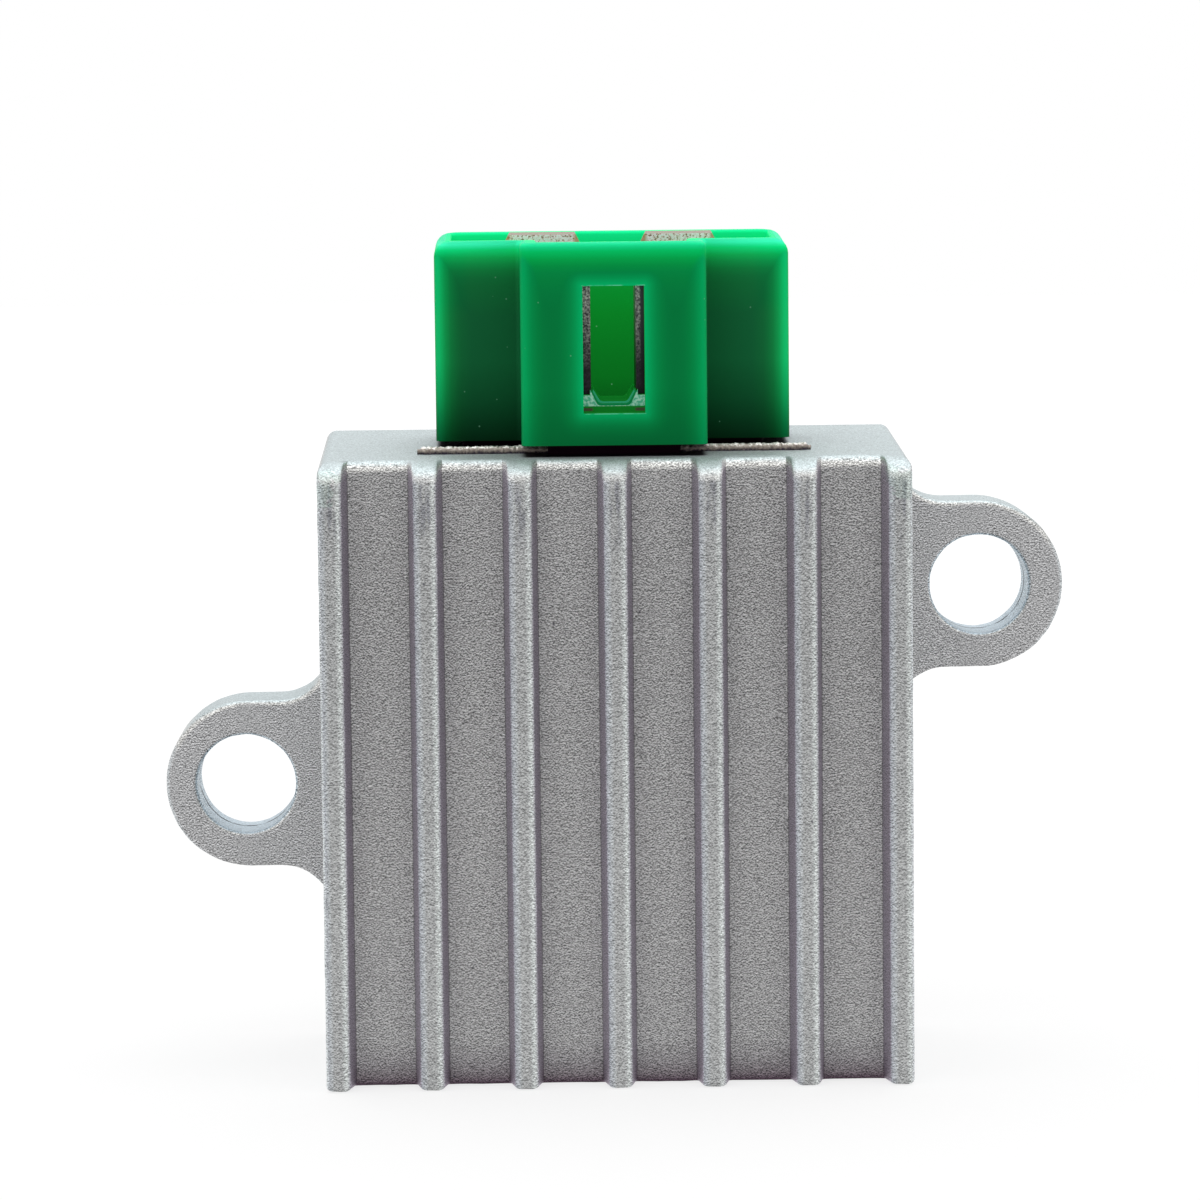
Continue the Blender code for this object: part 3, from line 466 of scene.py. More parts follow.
def moulded_nylon(connector):
    """Green nylon, injection moulded and slightly translucent.

    Light gets in through the rim, the upright edges and the window and fades within a few
    millimetres. The mesh lets none through, so this is painted light and shade: the edges are
    painted bright emerald and the middles of the walls dark, the crossbar darker than the
    stem, and the walls darker towards the base.
    """
    made, add = new_material("Moulded green nylon")
    point = add("TexCoord").outputs["Object"]
    x, y, z = add("SeparateXYZ", point).outputs
    _, facing_y, facing_z = add("SeparateXYZ", add("NewGeometry").outputs["Normal"]).outputs
    side = from_value(add, x, SHELL_CENTRE)

    # How far a point lies from the nearest upright edge or window edge, and from the rim
    corner = nearest(add, add("CombineXYZ", side, y), (
        (BAR_HALF, BAR_FRONT, 0), (BAR_HALF, BAR_REAR, 0), (STEM_HALF, STEM_FRONT, 0)))
    place = add("CombineXYZ", side, y, from_value(add, z, WINDOW_BASE + WINDOW_HEIGHT / 2))
    opening = (WINDOW_HALF, STEM_FRONT + WALL, WINDOW_HEIGHT / 2)
    gap = add("VectorMath", place, opening, operation="SUBTRACT")
    gap = add("VectorMath", gap, (0, 0, 0), operation="MAXIMUM")
    window = add("VectorMath", gap, operation="LENGTH")
    from_edge = add("Math", corner, window, operation="MINIMUM")
    from_edge = add("MapRange", from_edge, 0.0, 3.0 * MM)
    below_rim = add("MapRange", z, RIM_FRONT, RIM_FRONT - 6.0 * MM)
    from_base = add("MapRange", z, SHELL_BASE, SHELL_BASE + 6.4 * MM)

    # Colours from the edge inwards, from the rim down and from the base up, on bar and stem:
    # painted light that comes through the edges and the rim, and painted shade towards the base
    walls = []
    for edge_stops, rim_stops, base_stops in (
        (((0.03, "#0fda80"), (0.17, "#06c069"), (0.3, "#07a355"), (0.43, "#0c8846"),
          (0.57, "#0f783f"), (0.7, "#0f6d3b"), (1.0, connector.deep)),
         ((0.0, connector.rim), (0.05, "#38ffbd"), (0.12, "#09e985"), (0.22, "#04bb5e"),
          (0.31, "#079c50"), (0.4, "#0c8544"), (0.5, "#0e773f"), (0.6, "#0f713c"),
          (0.8, "#0f6c3b"), (1.0, connector.deep)),
         ((0.0, "#757d7d"), (0.18, "#9aa0a0"), (0.35, "#bcbebe"), (0.53, "#d8d8d8"),
          (0.72, "#e9e9e9"), (1.0, "#ffffff"))),
        (((0.0, connector.edge), (0.2, "#02a358"), (0.33, "#03934d"), (0.47, "#038945"),
          (0.6, "#058242"), (0.75, connector.middle)),
         ((0.0, connector.rim), (0.035, "#1ef2a1"), (0.12, "#00d26c"), (0.22, "#00b252"),
          (0.31, "#029c49"), (0.4, "#029048"), (0.5, "#038b44"), (0.68, "#058443"),
          (0.9, connector.middle)),
         ((0.0, "#ecdce0"), (0.3, "#ececec"), (0.7, "#ffffff"))),
    ):
        wall = add("Mix", 1.0, add("ValToRGB", from_edge, stops=edge_stops),
                   add("ValToRGB", below_rim, stops=rim_stops), blend_type="LIGHTEN")
        walls.append(add("Mix", 1.0, wall, add("ValToRGB", from_base, stops=base_stops),
                         blend_type="MULTIPLY"))
    on_stem = add("MapRange", y, BAR_FRONT - 0.1 * MM, BAR_FRONT - 1.2 * MM)
    green = add("Mix", on_stem, *walls)

    # Painted light from the right: the crossbar's right-hand end is a little paler
    paler = add("MapRange", x, 5 * MM, 14 * MM, 1.0, 1.17)
    green = add("VectorMath", green, paler, operation="SCALE")

    # The window's upper and lower edges catch the light
    patchy = add("TexNoise", point, 1 / (0.9 * MM))
    lit = within(add, (window, 0.1 * MM, 0.05 * MM), (patchy, 0.4, 0.55),
                 (add("SeparateXYZ", gap).outputs["Z"], 0.0, 0.01 * MM))
    green = add("Mix", lit, green, "#5fd2a4")

    # Inside, light comes through the walls from all round. The mesh lets none through, so a
    # faint glow of the wall's own green stands for it.
    hollow = add("Attribute", attribute_name="inside").outputs["Fac"]
    inner = add("ValToRGB", add("MapRange", z, SHELL_FLOOR_TOP, RIM_REAR), stops=(
        (0.0, "#0e6e22"), (0.12, "#0e7e26"), (0.5, "#0c8e2c"), (0.75, "#0a9a38"),
        (0.9, "#08cc6c"), (1.0, "#10e08c")))
    green = add("Mix", hollow, green, inner)

    # The bed of the stem blades: a painted pale reflection on its front, and on its steps round
    # the trough painted glossy lines with a dark line of shade
    bed = STEM_FRONT + WALL + CLEARANCE
    front = within(add, (hollow, 0, 1), (facing_y, -0.8, -0.95), (y, bed + 2 * MM, bed + 1.8 * MM))
    raised = within(add, (front, 0, 1), (z, SHELL_FLOOR_TOP, SHELL_FLOOR_TOP + 0.05 * MM))
    painted_bed_sheen = add("ValToRGB", add("TexNoise", point, 1 / (0.22 * MM)),
               stops=((0.4, "#46987a"), (0.6, "#90bcaa")))
    steps = add("ValToRGB", add("MapRange", y, bed, bed + BED_STEPS * BED_STEP_BACK),
                stops=((0.1, "#000000"), (0.2, "#0c7644"), (0.45, "#0c7644"), (0.55, "#2f9470")))
    behind = add("MapRange", y, bed + 0.1 * MM, bed + 0.2 * MM)
    painted_bed_sheen = add("Mix", behind, painted_bed_sheen, steps)
    green = add("Mix", raised, green, painted_bed_sheen)
    stain = within(add, (front, 0, 1), (side, 1.6 * MM, 1.8 * MM),
                   (z, SHELL_FLOOR_TOP - 0.08 * MM, SHELL_FLOOR_TOP - 0.14 * MM),
                   (z, SHELL_FLOOR_TOP - 0.4 * MM, SHELL_FLOOR_TOP - 0.32 * MM))
    green = add("Mix", stain, green, "#3c4030")

    # Specks of dust, and the shadowed neck below the shroud
    dust = specks(add, point, 1.2 * MM, 0.42, 0.08 * MM, 0.35)
    green = add("Mix", dust, green, "#8fd0ae")
    neck = add("Math", add("MapRange", z, SHELL_BASE + 0.03 * MM, SHELL_BASE - 0.03 * MM),
               add("MapRange", facing_z, -0.5, -0.8), operation="MAXIMUM")
    green = add("Mix", neck, green, "#1b0115")

    # The mould's skin is a faint swell
    swell = add("TexNoise", point, 1 / (1.6 * MM), 3.0)
    glow = within(add, (hollow, 0, 1), (neck, 1, 0))
    shader = add(
        "BsdfPrincipled", Base_Color=green, Roughness=0.45, IOR=1.53, Specular_IOR_Level=0.02,
        Emission_Color=add("Mix", glow, "#000000", green), Emission_Strength=0.45,
        Normal=add("Bump", Height=swell, Strength=0.2, Distance=0.05 * MM))
    add("OutputMaterial", shader)
    return made


def tinned_brass(connector):
    """Brass strip, tin-plated and then blanked: mottled grey faces, bare brass at the cut edges.

    Down in the stem the plating is painted darker as shade, and near the floor almost black.
    """
    made, add = new_material("Tin-plated brass strip")
    point = add("TexCoord").outputs["Object"]
    x, y, z = add("SeparateXYZ", point).outputs
    _, _, facing_z = add("SeparateXYZ", add("NewGeometry").outputs["Normal"]).outputs
    speck = add("TexNoise", point, 1 / (0.17 * MM), 3.0, 0.6)
    plate = add("ValToRGB", speck, stops=(
        (0.36, "#86685a"), (0.44, "#f0d0c8"), (0.5, connector.tin), (0.7, "#fffafc")))

    # The crossbar pair: brass shows along the blanked sides, and the bevel is dull
    pair = [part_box(f"crossbar_terminal_{word}") for word in ("left", "right")]
    centre = (pair[1][0][0] + pair[1][1][0]) / 2 - SHELL_CENTRE
    out = from_value(add, from_value(add, x, SHELL_CENTRE), centre)
    bare = add("MapRange", out, 2.45 * MM, 2.75 * MM, 0.0, 0.8)
    plate = add("Mix", bare, plate, "#c08a4a")
    bevel = add("MapRange", facing_z, 0.2, 0.5)
    plate = add("Mix", bevel, plate, "#8a8078")

    # The stem pair: greyer speckle; the right blade's outer half lies in painted shadow, and
    # painted shade darkens both blades towards the floor
    stem_plate_shaded = add("ValToRGB", speck, stops=((0.38, "#3c3a44"), (0.5, "#8e8c8e"), (0.66, "#dcdad6")))
    shaded = add("MapRange", x, 2.2 * MM, 2.35 * MM)
    stem_plate_shaded = add("Mix", shaded, stem_plate_shaded, "#3a3c44")
    # Painted shade: darker towards the stem's floor, nearly black at it
    depth = add("ValToRGB", add("MapRange", z, SHELL_FLOOR_TOP, SHELL_FLOOR_TOP + 9.5 * MM),
                stops=((0.0, "#281c30"), (0.3, "#362c3c"), (0.5, "#8a8888"), (1.0, "#f0eeee")))
    stem_plate_shaded = add("Mix", 1.0, stem_plate_shaded, depth, blend_type="MULTIPLY")
    in_stem = add("MapRange", y, 0.8 * MM, 0.4 * MM)
    plate = add("Mix", in_stem, plate, stem_plate_shaded)
    shader = add("BsdfPrincipled", Base_Color=plate, Metallic=0.6, Roughness=0.4,
                 Normal=add("Bump", Height=speck, Strength=0.3, Distance=0.02 * MM))
    add("OutputMaterial", shader)
    return made


def plain_finish(name, low, high, pitch, roughness, strength=0.2):
    """A finish with one fine grain between two close colours, for the pieces sealed inside."""
    made, add = new_material(name)
    grain = add("TexNoise", add("TexCoord").outputs["Object"], 1 / pitch, 3.0)
    shader = add("BsdfPrincipled", Base_Color=add("Mix", grain, low, high), Roughness=roughness,
                 Normal=add("Bump", Height=grain, Strength=strength, Distance=0.05 * MM))
    add("OutputMaterial", shader)
    return made


def mesh_object(name, bm, material=None):
    mesh = bpy.data.meshes.new(name)
    bm.to_mesh(mesh)
    bm.free()
    obj = bpy.data.objects.new(name, mesh)
    if material:
        mesh.materials.append(material)
    bpy.context.scene.collection.objects.link(obj)
    return obj


def apply_modifiers(obj):
    """Replaces an object's mesh by what its modifiers make of it, and takes them off."""
    graph = bpy.context.evaluated_depsgraph_get()
    made = bpy.data.meshes.new_from_object(obj.evaluated_get(graph))
    obj.modifiers.clear()
    obj.data = made
    return obj


def combine(target, bm, operation):
    """Cuts a solid from the target, or joins it on."""
    tool = mesh_object("tool", bm)
    modifier = target.modifiers.new(operation.title(), "BOOLEAN")
    modifier.object, modifier.operation, modifier.solver = tool, operation, "EXACT"
    apply_modifiers(target)
    bpy.data.objects.remove(tool)


def cut(target, bm):
    combine(target, bm, "DIFFERENCE")


def unite(target, bm):
    combine(target, bm, "UNION")


def merge(name, parts, material):
    """One object from several; the parts are deleted."""
    bm = bmesh.new()
    for part in parts:
        bm.from_mesh(part.data)
        bpy.data.objects.remove(part)
    return mesh_object(name, bm, material)


def smooth(obj, angle):
    """Smooth shading that keeps flat faces flat and edges over the angle sharp."""
    obj.data.shade_smooth()
    obj.data.set_sharp_from_angle(angle=math.radians(angle))
    weighted = obj.modifiers.new("Weighted normals", "WEIGHTED_NORMAL")
    weighted.keep_sharp = True
    return apply_modifiers(obj)


def loft(rings):
    """A closed solid through rings of as many points each, capped at both ends."""
    bm = bmesh.new()
    rows = [[bm.verts.new(point) for point in ring] for ring in rings]
    count = len(rings[0])
    for lower, upper in zip(rows, rows[1:]):
        for i in range(count):
            j = (i + 1) % count
            bm.faces.new((lower[i], lower[j], upper[j], upper[i]))
    bm.faces.new(list(reversed(rows[0])))
    bm.faces.new(rows[-1])
    bmesh.ops.recalc_face_normals(bm, faces=bm.faces)
    return bm


def level(outline, z):
    return [Vector((x, y, z)) for x, y in outline]


def upright(outline, y):
    return [Vector((x, y, z)) for x, z in outline]


def box(low, high):
    (x0, y0, z0), (x1, y1, z1) = low, high
    base = [(x0, y0), (x1, y0), (x1, y1), (x0, y1)]
    return loft([level(base, z0), level(base, z1)])


def arc(centre, radius, start, end, steps):
    """Points from angle start to angle end, in degrees, about a centre in the plane."""
    angles = (math.radians(start + (end - start) * i / steps) for i in range(steps + 1))
    return [(centre[0] + radius * math.cos(a), centre[1] + radius * math.sin(a)) for a in angles]


def quarter(steps):
    """Pairs that go round a quarter circle: how far in, and how far still to go up."""
    angles = (math.pi / 2 * i / steps for i in range(steps + 1))
    return [(1 - math.cos(a), 1 - math.sin(a)) for a in angles]


def rounded(corners, steps):
    """A closed outline whose corners, given as (x, y, radius), become tangent arcs."""
    points = []
    count = len(corners)
    for i, (x, y, radius) in enumerate(corners):
        if radius <= 0:
            points.append((x, y))
            continue
        here = Vector((x, y))
        back = (Vector(corners[i - 1][:2]) - here).normalized()
        ahead = (Vector(corners[(i + 1) % count][:2]) - here).normalized()
        half = back.angle(ahead) / 2
        centre = here + (back + ahead).normalized() * (radius / math.sin(half))
        first = here + back * (radius / math.tan(half)) - centre
        last = here + ahead * (radius / math.tan(half)) - centre
        begin, sweep = math.atan2(first.y, first.x), first.angle_signed(last)
        for k in range(steps + 1):
            a = begin - sweep * k / steps
            points.append((centre.x + radius * math.cos(a), centre.y + radius * math.sin(a)))
    return points


def ruffle(obj):
    """Moves the vertices a little, so that edges are as uneven as blasted cast ones."""
    noise.seed_set(CAST_RUFFLE_SEED)
    for vert in obj.data.vertices:
        vert.co += noise.noise_vector(vert.co / CAST_RUFFLE_PITCH) * CAST_RUFFLE


def fall_back(distance, radius):
    """How far a rounded edge lies back from its face, this far from the end."""
    if distance >= radius:
        return 0.0
    return radius - math.sqrt(radius ** 2 - (radius - distance) ** 2)


class CastSection:
    """The casting's front at one height: where its plate, crests and sides have gone."""

    def __init__(self, z):
        from_top, from_foot = BODY_TOP - FOOT - z, z
        nose = (FIN_HEIGHT + PLATE_TOP_RADIUS - FIN_TOP_LIP) / FIN_TOP_SLOPE
        self.z = z
        self.plate = (FLOOR + fall_back(from_top, PLATE_TOP_RADIUS)
                      + fall_back(from_foot, PLATE_FOOT_RADIUS))
        crest = (NOSE + nose * fall_back(from_top, FIN_TOP_SLOPE)
                 + fall_back(from_foot, FOOT_SETBACK))
        self.share = (self.plate - crest) / FIN_HEIGHT
        self.side = fall_back(from_top, CORNER_RADIUS)
        self.foot = fall_back(from_foot, FOOT_RADIUS)

    def ring(self, outline, half_face, centre=0.0, inner_edge=None):
        """The outline as it is at this height.

        What stands in front of the plate narrows at its foot, about a fin's middle at x = 0 or
        at both centres; points past inner_edge follow the body's rounded sides.
        """
        points = []
        for x, y in outline:
            ahead = max(FLOOR - y, 0.0)
            lean = min(ahead / FIN_HEIGHT / FOOT_ROOT, 1)
            middle = math.copysign(centre, x)
            x = middle + (x - middle) * (1 - self.foot * lean / half_face)
            if ahead > 0:
                y = self.plate - ahead * self.share
            elif y < FLOOR + FRONT_PLATE:
                y += self.plate - FLOOR
            if inner_edge is not None and abs(x) > inner_edge:
                outward = min((abs(x) - inner_edge) / (HALF_NOSE - inner_edge), 1)
                x -= math.copysign((self.side + self.foot * (1 - lean)) * outward, x)
            rise = TOP_SLOPE * (y - FLOOR) * self.z / (BODY_TOP - FOOT)
            points.append(Vector((x, y, FOOT + self.z + rise)))
        return points


def section_heights():
    """Heights for the rings, closer together where the ends are rounded."""
    height = BODY_TOP - FOOT
    heights = [FOOT_RADIUS * (1 - math.cos(math.pi / 2 * i / FOOT_RINGS))
               for i in range(FOOT_RINGS + 1)]
    middle = height - FIN_TOP_SLOPE - FOOT_RADIUS
    plain = math.ceil(middle / RING_PITCH)
    heights += [FOOT_RADIUS + middle * i / plain for i in range(1, plain + 1)]
    heights += [height - FIN_TOP_SLOPE * (1 - math.sin(math.pi / 2 * i / FIN_TOP_RINGS))
                for i in range(1, FIN_TOP_RINGS + 1)]
    return heights


def body_outline(casting):
    """The block seen from above: plain sides and back, a corner fin at each end of the front."""
    foot = casting.fin_face / 2 + FIN_DRAFT
    middle = (casting.fin_count - 1) / 2 * casting.fin_pitch
    inner = middle - casting.fin_face / 2
    root = middle - foot
    corners = [(-HALF_BACK, BACK, 0), (-HALF_NOSE, NOSE, FIN_EDGE_RADIUS),
               (-inner, NOSE, FIN_EDGE_RADIUS), (-root, FLOOR, FIN_ROOT_RADIUS)]
    steps = PLATE_STEPS_PER_MM * round(root / MM)
    corners += [(-root + 2 * root * i / steps, FLOOR, 0) for i in range(1, steps)]
    corners += [(root, FLOOR, FIN_ROOT_RADIUS), (inner, NOSE, FIN_EDGE_RADIUS),
                (HALF_NOSE, NOSE, FIN_EDGE_RADIUS), (HALF_BACK, BACK, 0)]
    return rounded(corners, CORNER_STEPS)


def fin_outline(casting):
    """One fin seen from above, with its fillets, its foot sunk into the plate."""
    half = casting.fin_face / 2
    foot = half + FIN_DRAFT
    wing = foot + FIN_WING
    return rounded([
        (-wing, FLOOR + FIN_SUNK, 0), (-wing, FLOOR + WING_SUNK, 0),
        (-foot, FLOOR, FIN_ROOT_RADIUS), (-half, NOSE, FIN_EDGE_RADIUS), (-half / 3, NOSE, 0),
        (half / 3, NOSE, 0), (half, NOSE, FIN_EDGE_RADIUS), (foot, FLOOR, FIN_ROOT_RADIUS),
        (wing, FLOOR + WING_SUNK, 0), (wing, FLOOR + FIN_SUNK, 0),
    ], CORNER_STEPS)


def cavity_outline(inset):
    """The potting cavity seen from behind."""
    x = HALF_BACK - SIDE_WALL - inset
    low, high = FOOT + BASE_WALL + inset, TOP_REAR - TOP_WALL - inset
    return rounded([(-x, low, CAVITY_CORNER), (x, low, CAVITY_CORNER),
                    (x, high, CAVITY_CORNER), (-x, high, CAVITY_CORNER)], CAVITY_CORNER_STEPS)


def build_by_nodes(name, inputs, build):
    """A plain mesh object from a geometry node tree with named inputs: (label, type, value).

    build gets add_node bound to the tree and the tree's inputs, and returns the last node
    before the pieces are made one mesh and get their finish.
    """
    tree = bpy.data.node_groups.new(name, "GeometryNodeTree")
    sockets = [tree.interface.new_socket(label, in_out="INPUT", socket_type="NodeSocket" + kind)
               for label, kind, _ in inputs]
    tree.interface.new_socket("Geometry", in_out="OUTPUT", socket_type="NodeSocketGeometry")
    add = partial(add_node, tree)
    given = add("NodeGroupInput").outputs
    solid = add("GeometryNodeRealizeInstances", build(add, given))
    add("NodeGroupOutput", add("GeometryNodeSetMaterial", solid, Material=given["Finish"]))
    obj = mesh_object(name, bmesh.new())
    modifier = obj.modifiers.new(name, "NODES")
    modifier.node_group = tree
    for socket, (_, _, value) in zip(sockets, inputs):
        modifier[socket.identifier] = value
    return apply_modifiers(obj)


def row_of_pieces(add, given):
    """Copies of a piece in a row along X, centred."""
    gaps = add("Math", given["Count"], 1.0, operation="SUBTRACT")
    reach = add("Math", gaps, given["Pitch"], operation="MULTIPLY")
    start = add("Math", reach, -0.5, operation="MULTIPLY")
    row = add("GeometryNodeMeshLine", given["Count"], Start_Location=add("CombineXYZ", start),
              Offset=add("CombineXYZ", given["Pitch"]))
    piece = add("GeometryNodeObjectInfo", given["Piece"]).outputs["Geometry"]
    return add("GeometryNodeInstanceOnPoints", row, Instance=piece)


def torn_ridge(add, given):
    """A thin rod from end to end, its surface pulled about by noise."""
    line = add("GeometryNodeCurvePrimitiveLine", given["Left End"], given["Right End"])
    path = add("GeometryNodeResampleCurve", line, Count=SCAR_POINTS)
    profile = add("GeometryNodeCurvePrimitiveCircle", SCAR_SIDES, given["Radius"])
    ridge = add("GeometryNodeCurveToMesh", path, profile, Fill_Caps=True)
    torn = add("TexNoise", Scale=1 / SCAR_GRAIN, Detail=3.0).outputs["Color"]
    centred = add("VectorMath", torn, (0.5, 0.5, 0.5), operation="SUBTRACT")
    ragged = add("VectorMath", centred, given["Raggedness"], operation="SCALE")
    return add("GeometryNodeSetPosition", ridge, Offset=ragged)


def ear_outline(side, height, inset):
    """A round end, two flats and two hollow fillets that run out into the body's side."""
    reach = HALF_BACK + EAR_REACH - HALF_NOSE - (LEFT_EAR_TRIM if side < 0 else 0.0)
    fillet, edge = EAR_FILLET + inset, EAR_RADIUS + EAR_FILLET
    run_out = 180 - math.degrees(math.asin(inset / fillet))
    points = [(-EAR_ROOT_DEPTH, edge)]
    points += arc((EAR_FILLET, edge), fillet, run_out, 270, EAR_FILLET_STEPS)
    points += arc((reach, 0), EAR_RADIUS - inset, 90, -90, EAR_STEPS)
    points += arc((EAR_FILLET, -edge), fillet, 90, 360 - run_out, EAR_FILLET_STEPS)
    points.append((-EAR_ROOT_DEPTH, -edge))
    return [(side * (HALF_NOSE + u), height + v) for u, v in points]


def make_ear(side, height, hole_radius):
    """An ear with rounded edges and a bolt hole whose rims are rounded over."""
    front = BACK - EAR_THICKNESS
    rings = []
    for across, along in reversed(quarter(EAR_EDGE_RINGS)):
        outline = ear_outline(side, height, EAR_EDGE_RADIUS * across)
        rings.append(upright(outline, front + EAR_EDGE_RADIUS * along))
    rings.append(upright(ear_outline(side, height, 0), BACK))
    ear = mesh_object("ear", loft(rings))
    centre = (side * (HALF_BACK + EAR_REACH), height)
    widths = [(front - MM, HOLE_EDGE_RADIUS)]
    widths += [(front + HOLE_EDGE_RADIUS * along, HOLE_EDGE_RADIUS * across)
               for across, along in reversed(quarter(EAR_EDGE_RINGS))]
    seam = BACK - SEAM_FROM_BACK
    widths += [(seam - SEAM_DEPTH, 0.0), (seam, SEAM_DEPTH), (seam + SEAM_DEPTH, 0.0),
               (BACK + MM, 0.0)]
    last = 360 - 360 / HOLE_SIDES
    cut(ear, loft([upright(arc(centre, hole_radius + grow, 0, last, HOLE_SIDES - 1), y)
                   for y, grow in widths]))
    return ear


def shell_outline(inset=0.0, side_inset=None, rear=None, radius=OUTER_CORNER, bend=None):
    """The T seen from above: a crossbar behind and a stem in front.

    bend adds a point on each end of the crossbar, at the depth where the rim starts to rise.
    """
    side = inset if side_inset is None else side_inset
    bar, stem = BAR_HALF - side, STEM_HALF - inset
    front, bar_front = STEM_FRONT + inset, BAR_FRONT + inset
    bar_rear = (BAR_REAR if rear is None else rear) - inset
    bends = [] if bend is None else [(bar, bend, 0), (-bar, bend, 0)]
    outline = rounded([
        (-stem, front, radius), (stem, front, radius), (stem, bar_front, INNER_CORNER),
        (bar, bar_front, radius), *bends[:1], (bar, bar_rear, radius), (-bar, bar_rear, radius),
        *bends[1:], (-bar, bar_front, radius), (-stem, bar_front, INNER_CORNER),
    ], CORNER_STEPS)
    return [(x + SHELL_CENTRE, y) for x, y in outline]


def neck_outline(grow, rear):
    """The same T, smaller, below the shroud."""
    inset = NECK_INSET - grow
    return shell_outline(inset, rear=rear + inset, radius=INNER_CORNER)


def rim_height(y):
    """The rim is level round the stem and rises along the crossbar's ends to its rear wall."""
    return RIM_FRONT + RIM_RISE * max(y - RIM_BEND, 0) / (BAR_REAR - RIM_BEND)


def shell_block():
    """The outside of the shroud, its rim rounded more on the two ends than in front."""
    rings = [level(shell_outline(bend=RIM_BEND), SHELL_BASE)]
    for across, along in quarter(RIM_RINGS):
        ring = []
        for x, y in shell_outline(RIM_RADIUS * across, RIM_SIDE_RADIUS * across, bend=RIM_BEND):
            outward = abs(x - SHELL_CENTRE) > STEM_HALF + INNER_CORNER
            drop = (RIM_SIDE_RADIUS if outward else RIM_RADIUS) * along
            ring.append(Vector((x, y, rim_height(y) - drop)))
        rings.append(ring)
    bm = loft(rings)
    bm.faces.ensure_lookup_table()
    rim = bm.faces[-1]
    at_bend = [vert for vert in rim.verts if abs(vert.co.y - RIM_BEND) < BEND_REACH]
    bmesh.utils.face_split(rim, *at_bend)
    return bm


def shell_mouth():
    """What is hollow, with a flared mouth that rounds the rim's inner edge."""
    rings = [level(shell_outline(WALL, radius=INNER_CORNER), SHELL_FLOOR_TOP)]
    for across, along in quarter(MOUTH_RINGS):
        ring = []
        for x, y in shell_outline(WALL - MOUTH_RADIUS * across, radius=INNER_CORNER):
            ring.append(Vector((x, y, rim_height(y) - MOUTH_RADIUS * along)))
        rings.append(ring)
    rings.append([point + Vector((0, 0, 2 * MM)) for point in rings[-1]])
    return loft(rings)


def blade_bed(front, step):
    """One layer of the raised bed that holds the stem blades, with a trough between them."""
    half = WINDOW_HALF + CLEARANCE
    low, high = SHELL_FLOOR_TOP - CLEARANCE, SHELL_FLOOR_TOP + BED_HEIGHT
    top, bottom = TROUGH_TOP - TROUGH_STEP * step, TROUGH_BOTTOM - TROUGH_STEP * step
    sunk = SHELL_FLOOR_TOP + TROUGH_RISE * (step + 0.5)
    outline = rounded([
        (-half, low, 0), (half, low, 0), (half, high, 0), (top, high, 0),
        (top, high + TROUGH_LIP, 0), (bottom, sunk, TROUGH_CORNER), (-bottom, sunk, TROUGH_CORNER),
        (-top, high + TROUGH_LIP, 0), (-top, high, 0), (-half, high, 0),
    ], TROUGH_CORNER_STEPS)
    outline = [(x + SHELL_CENTRE, z) for x, z in outline]
    return loft([upright(outline, front + BED_STEP_BACK * step),
                 upright(outline, front + BED_LENGTH)])


def give(material, *nodes):
    """Puts a finish on CAD nodes that keep their shape."""
    for name in nodes:
        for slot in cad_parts[name].material_slots:
            slot.material = material


class REGULATOR_OT_housing(bpy.types.Operator):
    """Builds the finned die casting with its two ears"""

    bl_idname = "regulator.housing"
    bl_label = "Housing casting"

    def execute(self, context):
        casting = context.scene.casting
        metal = blasted_aluminium(casting)
        sections = [CastSection(z) for z in section_heights()]
        half_face = casting.fin_face / 2
        corner = HALF_NOSE - half_face
        inner_edge = corner - half_face - FIN_DRAFT
        outline = body_outline(casting)
        body = mesh_object("block", loft([
            section.ring(outline, half_face, corner, inner_edge) for section in sections]))
        cut(body, loft([upright(cavity_outline(CAVITY_DRAFT), FLOOR + FRONT_PLATE),
                        upright(cavity_outline(0.0), BACK + MM)]))
        notch = neck_outline(NOTCH_CLEARANCE, BACK + EAR_THICKNESS)
        cut(body, loft([level(notch, TOP_REAR - 2 * TOP_WALL),
                        level(notch, SHELL_BASE + TOP_WALL)]))
        outline = fin_outline(casting)
        fin = mesh_object("fin", loft([section.ring(outline, half_face) for section in sections]))
        fins = build_by_nodes("Fin row", (
            ("Piece", "Object", fin), ("Count", "Int", casting.fin_count - 2),
            ("Pitch", "Float", casting.fin_pitch), ("Finish", "Material", metal),
        ), row_of_pieces)
        bpy.data.objects.remove(fin)
        ears = [make_ear(side, FOOT + height, casting.hole_radius)
                for side, height in EAR_HEIGHTS.items()]
        housing = merge("housing_casting", [body, fins, *ears], metal)
        ruffle(housing)
        smooth(housing, CAST_SMOOTH)
        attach(housing, "root")
        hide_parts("housing")
        return {"FINISHED"}


class REGULATOR_OT_gate_scar(bpy.types.Operator):
    """Builds the rough ridge where the casting's gate was broken off"""

    bl_idname = "regulator.gate_scar"
    bl_label = "Gate scar"

    def execute(self, context):
        base = BODY_TOP + TOP_SLOPE * (SCAR_Y - FLOOR)
        axis = base + SCAR_HEIGHT / 4
        scar = build_by_nodes("gate_scar", (
            ("Left End", "Vector", (SCAR_LEFT, SCAR_Y, axis)),
            ("Right End", "Vector", (SCAR_RIGHT, SCAR_Y, axis)),
            ("Radius", "Float", SCAR_HEIGHT / 2), ("Raggedness", "Float", SCAR_RAGGEDNESS),
            ("Finish", "Material", broken_metal(base)),
        ), torn_ridge)
        for vert in scar.data.vertices:
            from_end = min(vert.co.x - SCAR_LEFT, SCAR_RIGHT - vert.co.x)
            share = max(min(from_end / SCAR_TAPER, 1), SCAR_END)
            vert.co.y = SCAR_Y + (vert.co.y - SCAR_Y) * share
            vert.co.z = axis + (vert.co.z - axis) * share
        smooth(scar, SCAR_SMOOTH)
        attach(scar, "root")
        return {"FINISHED"}


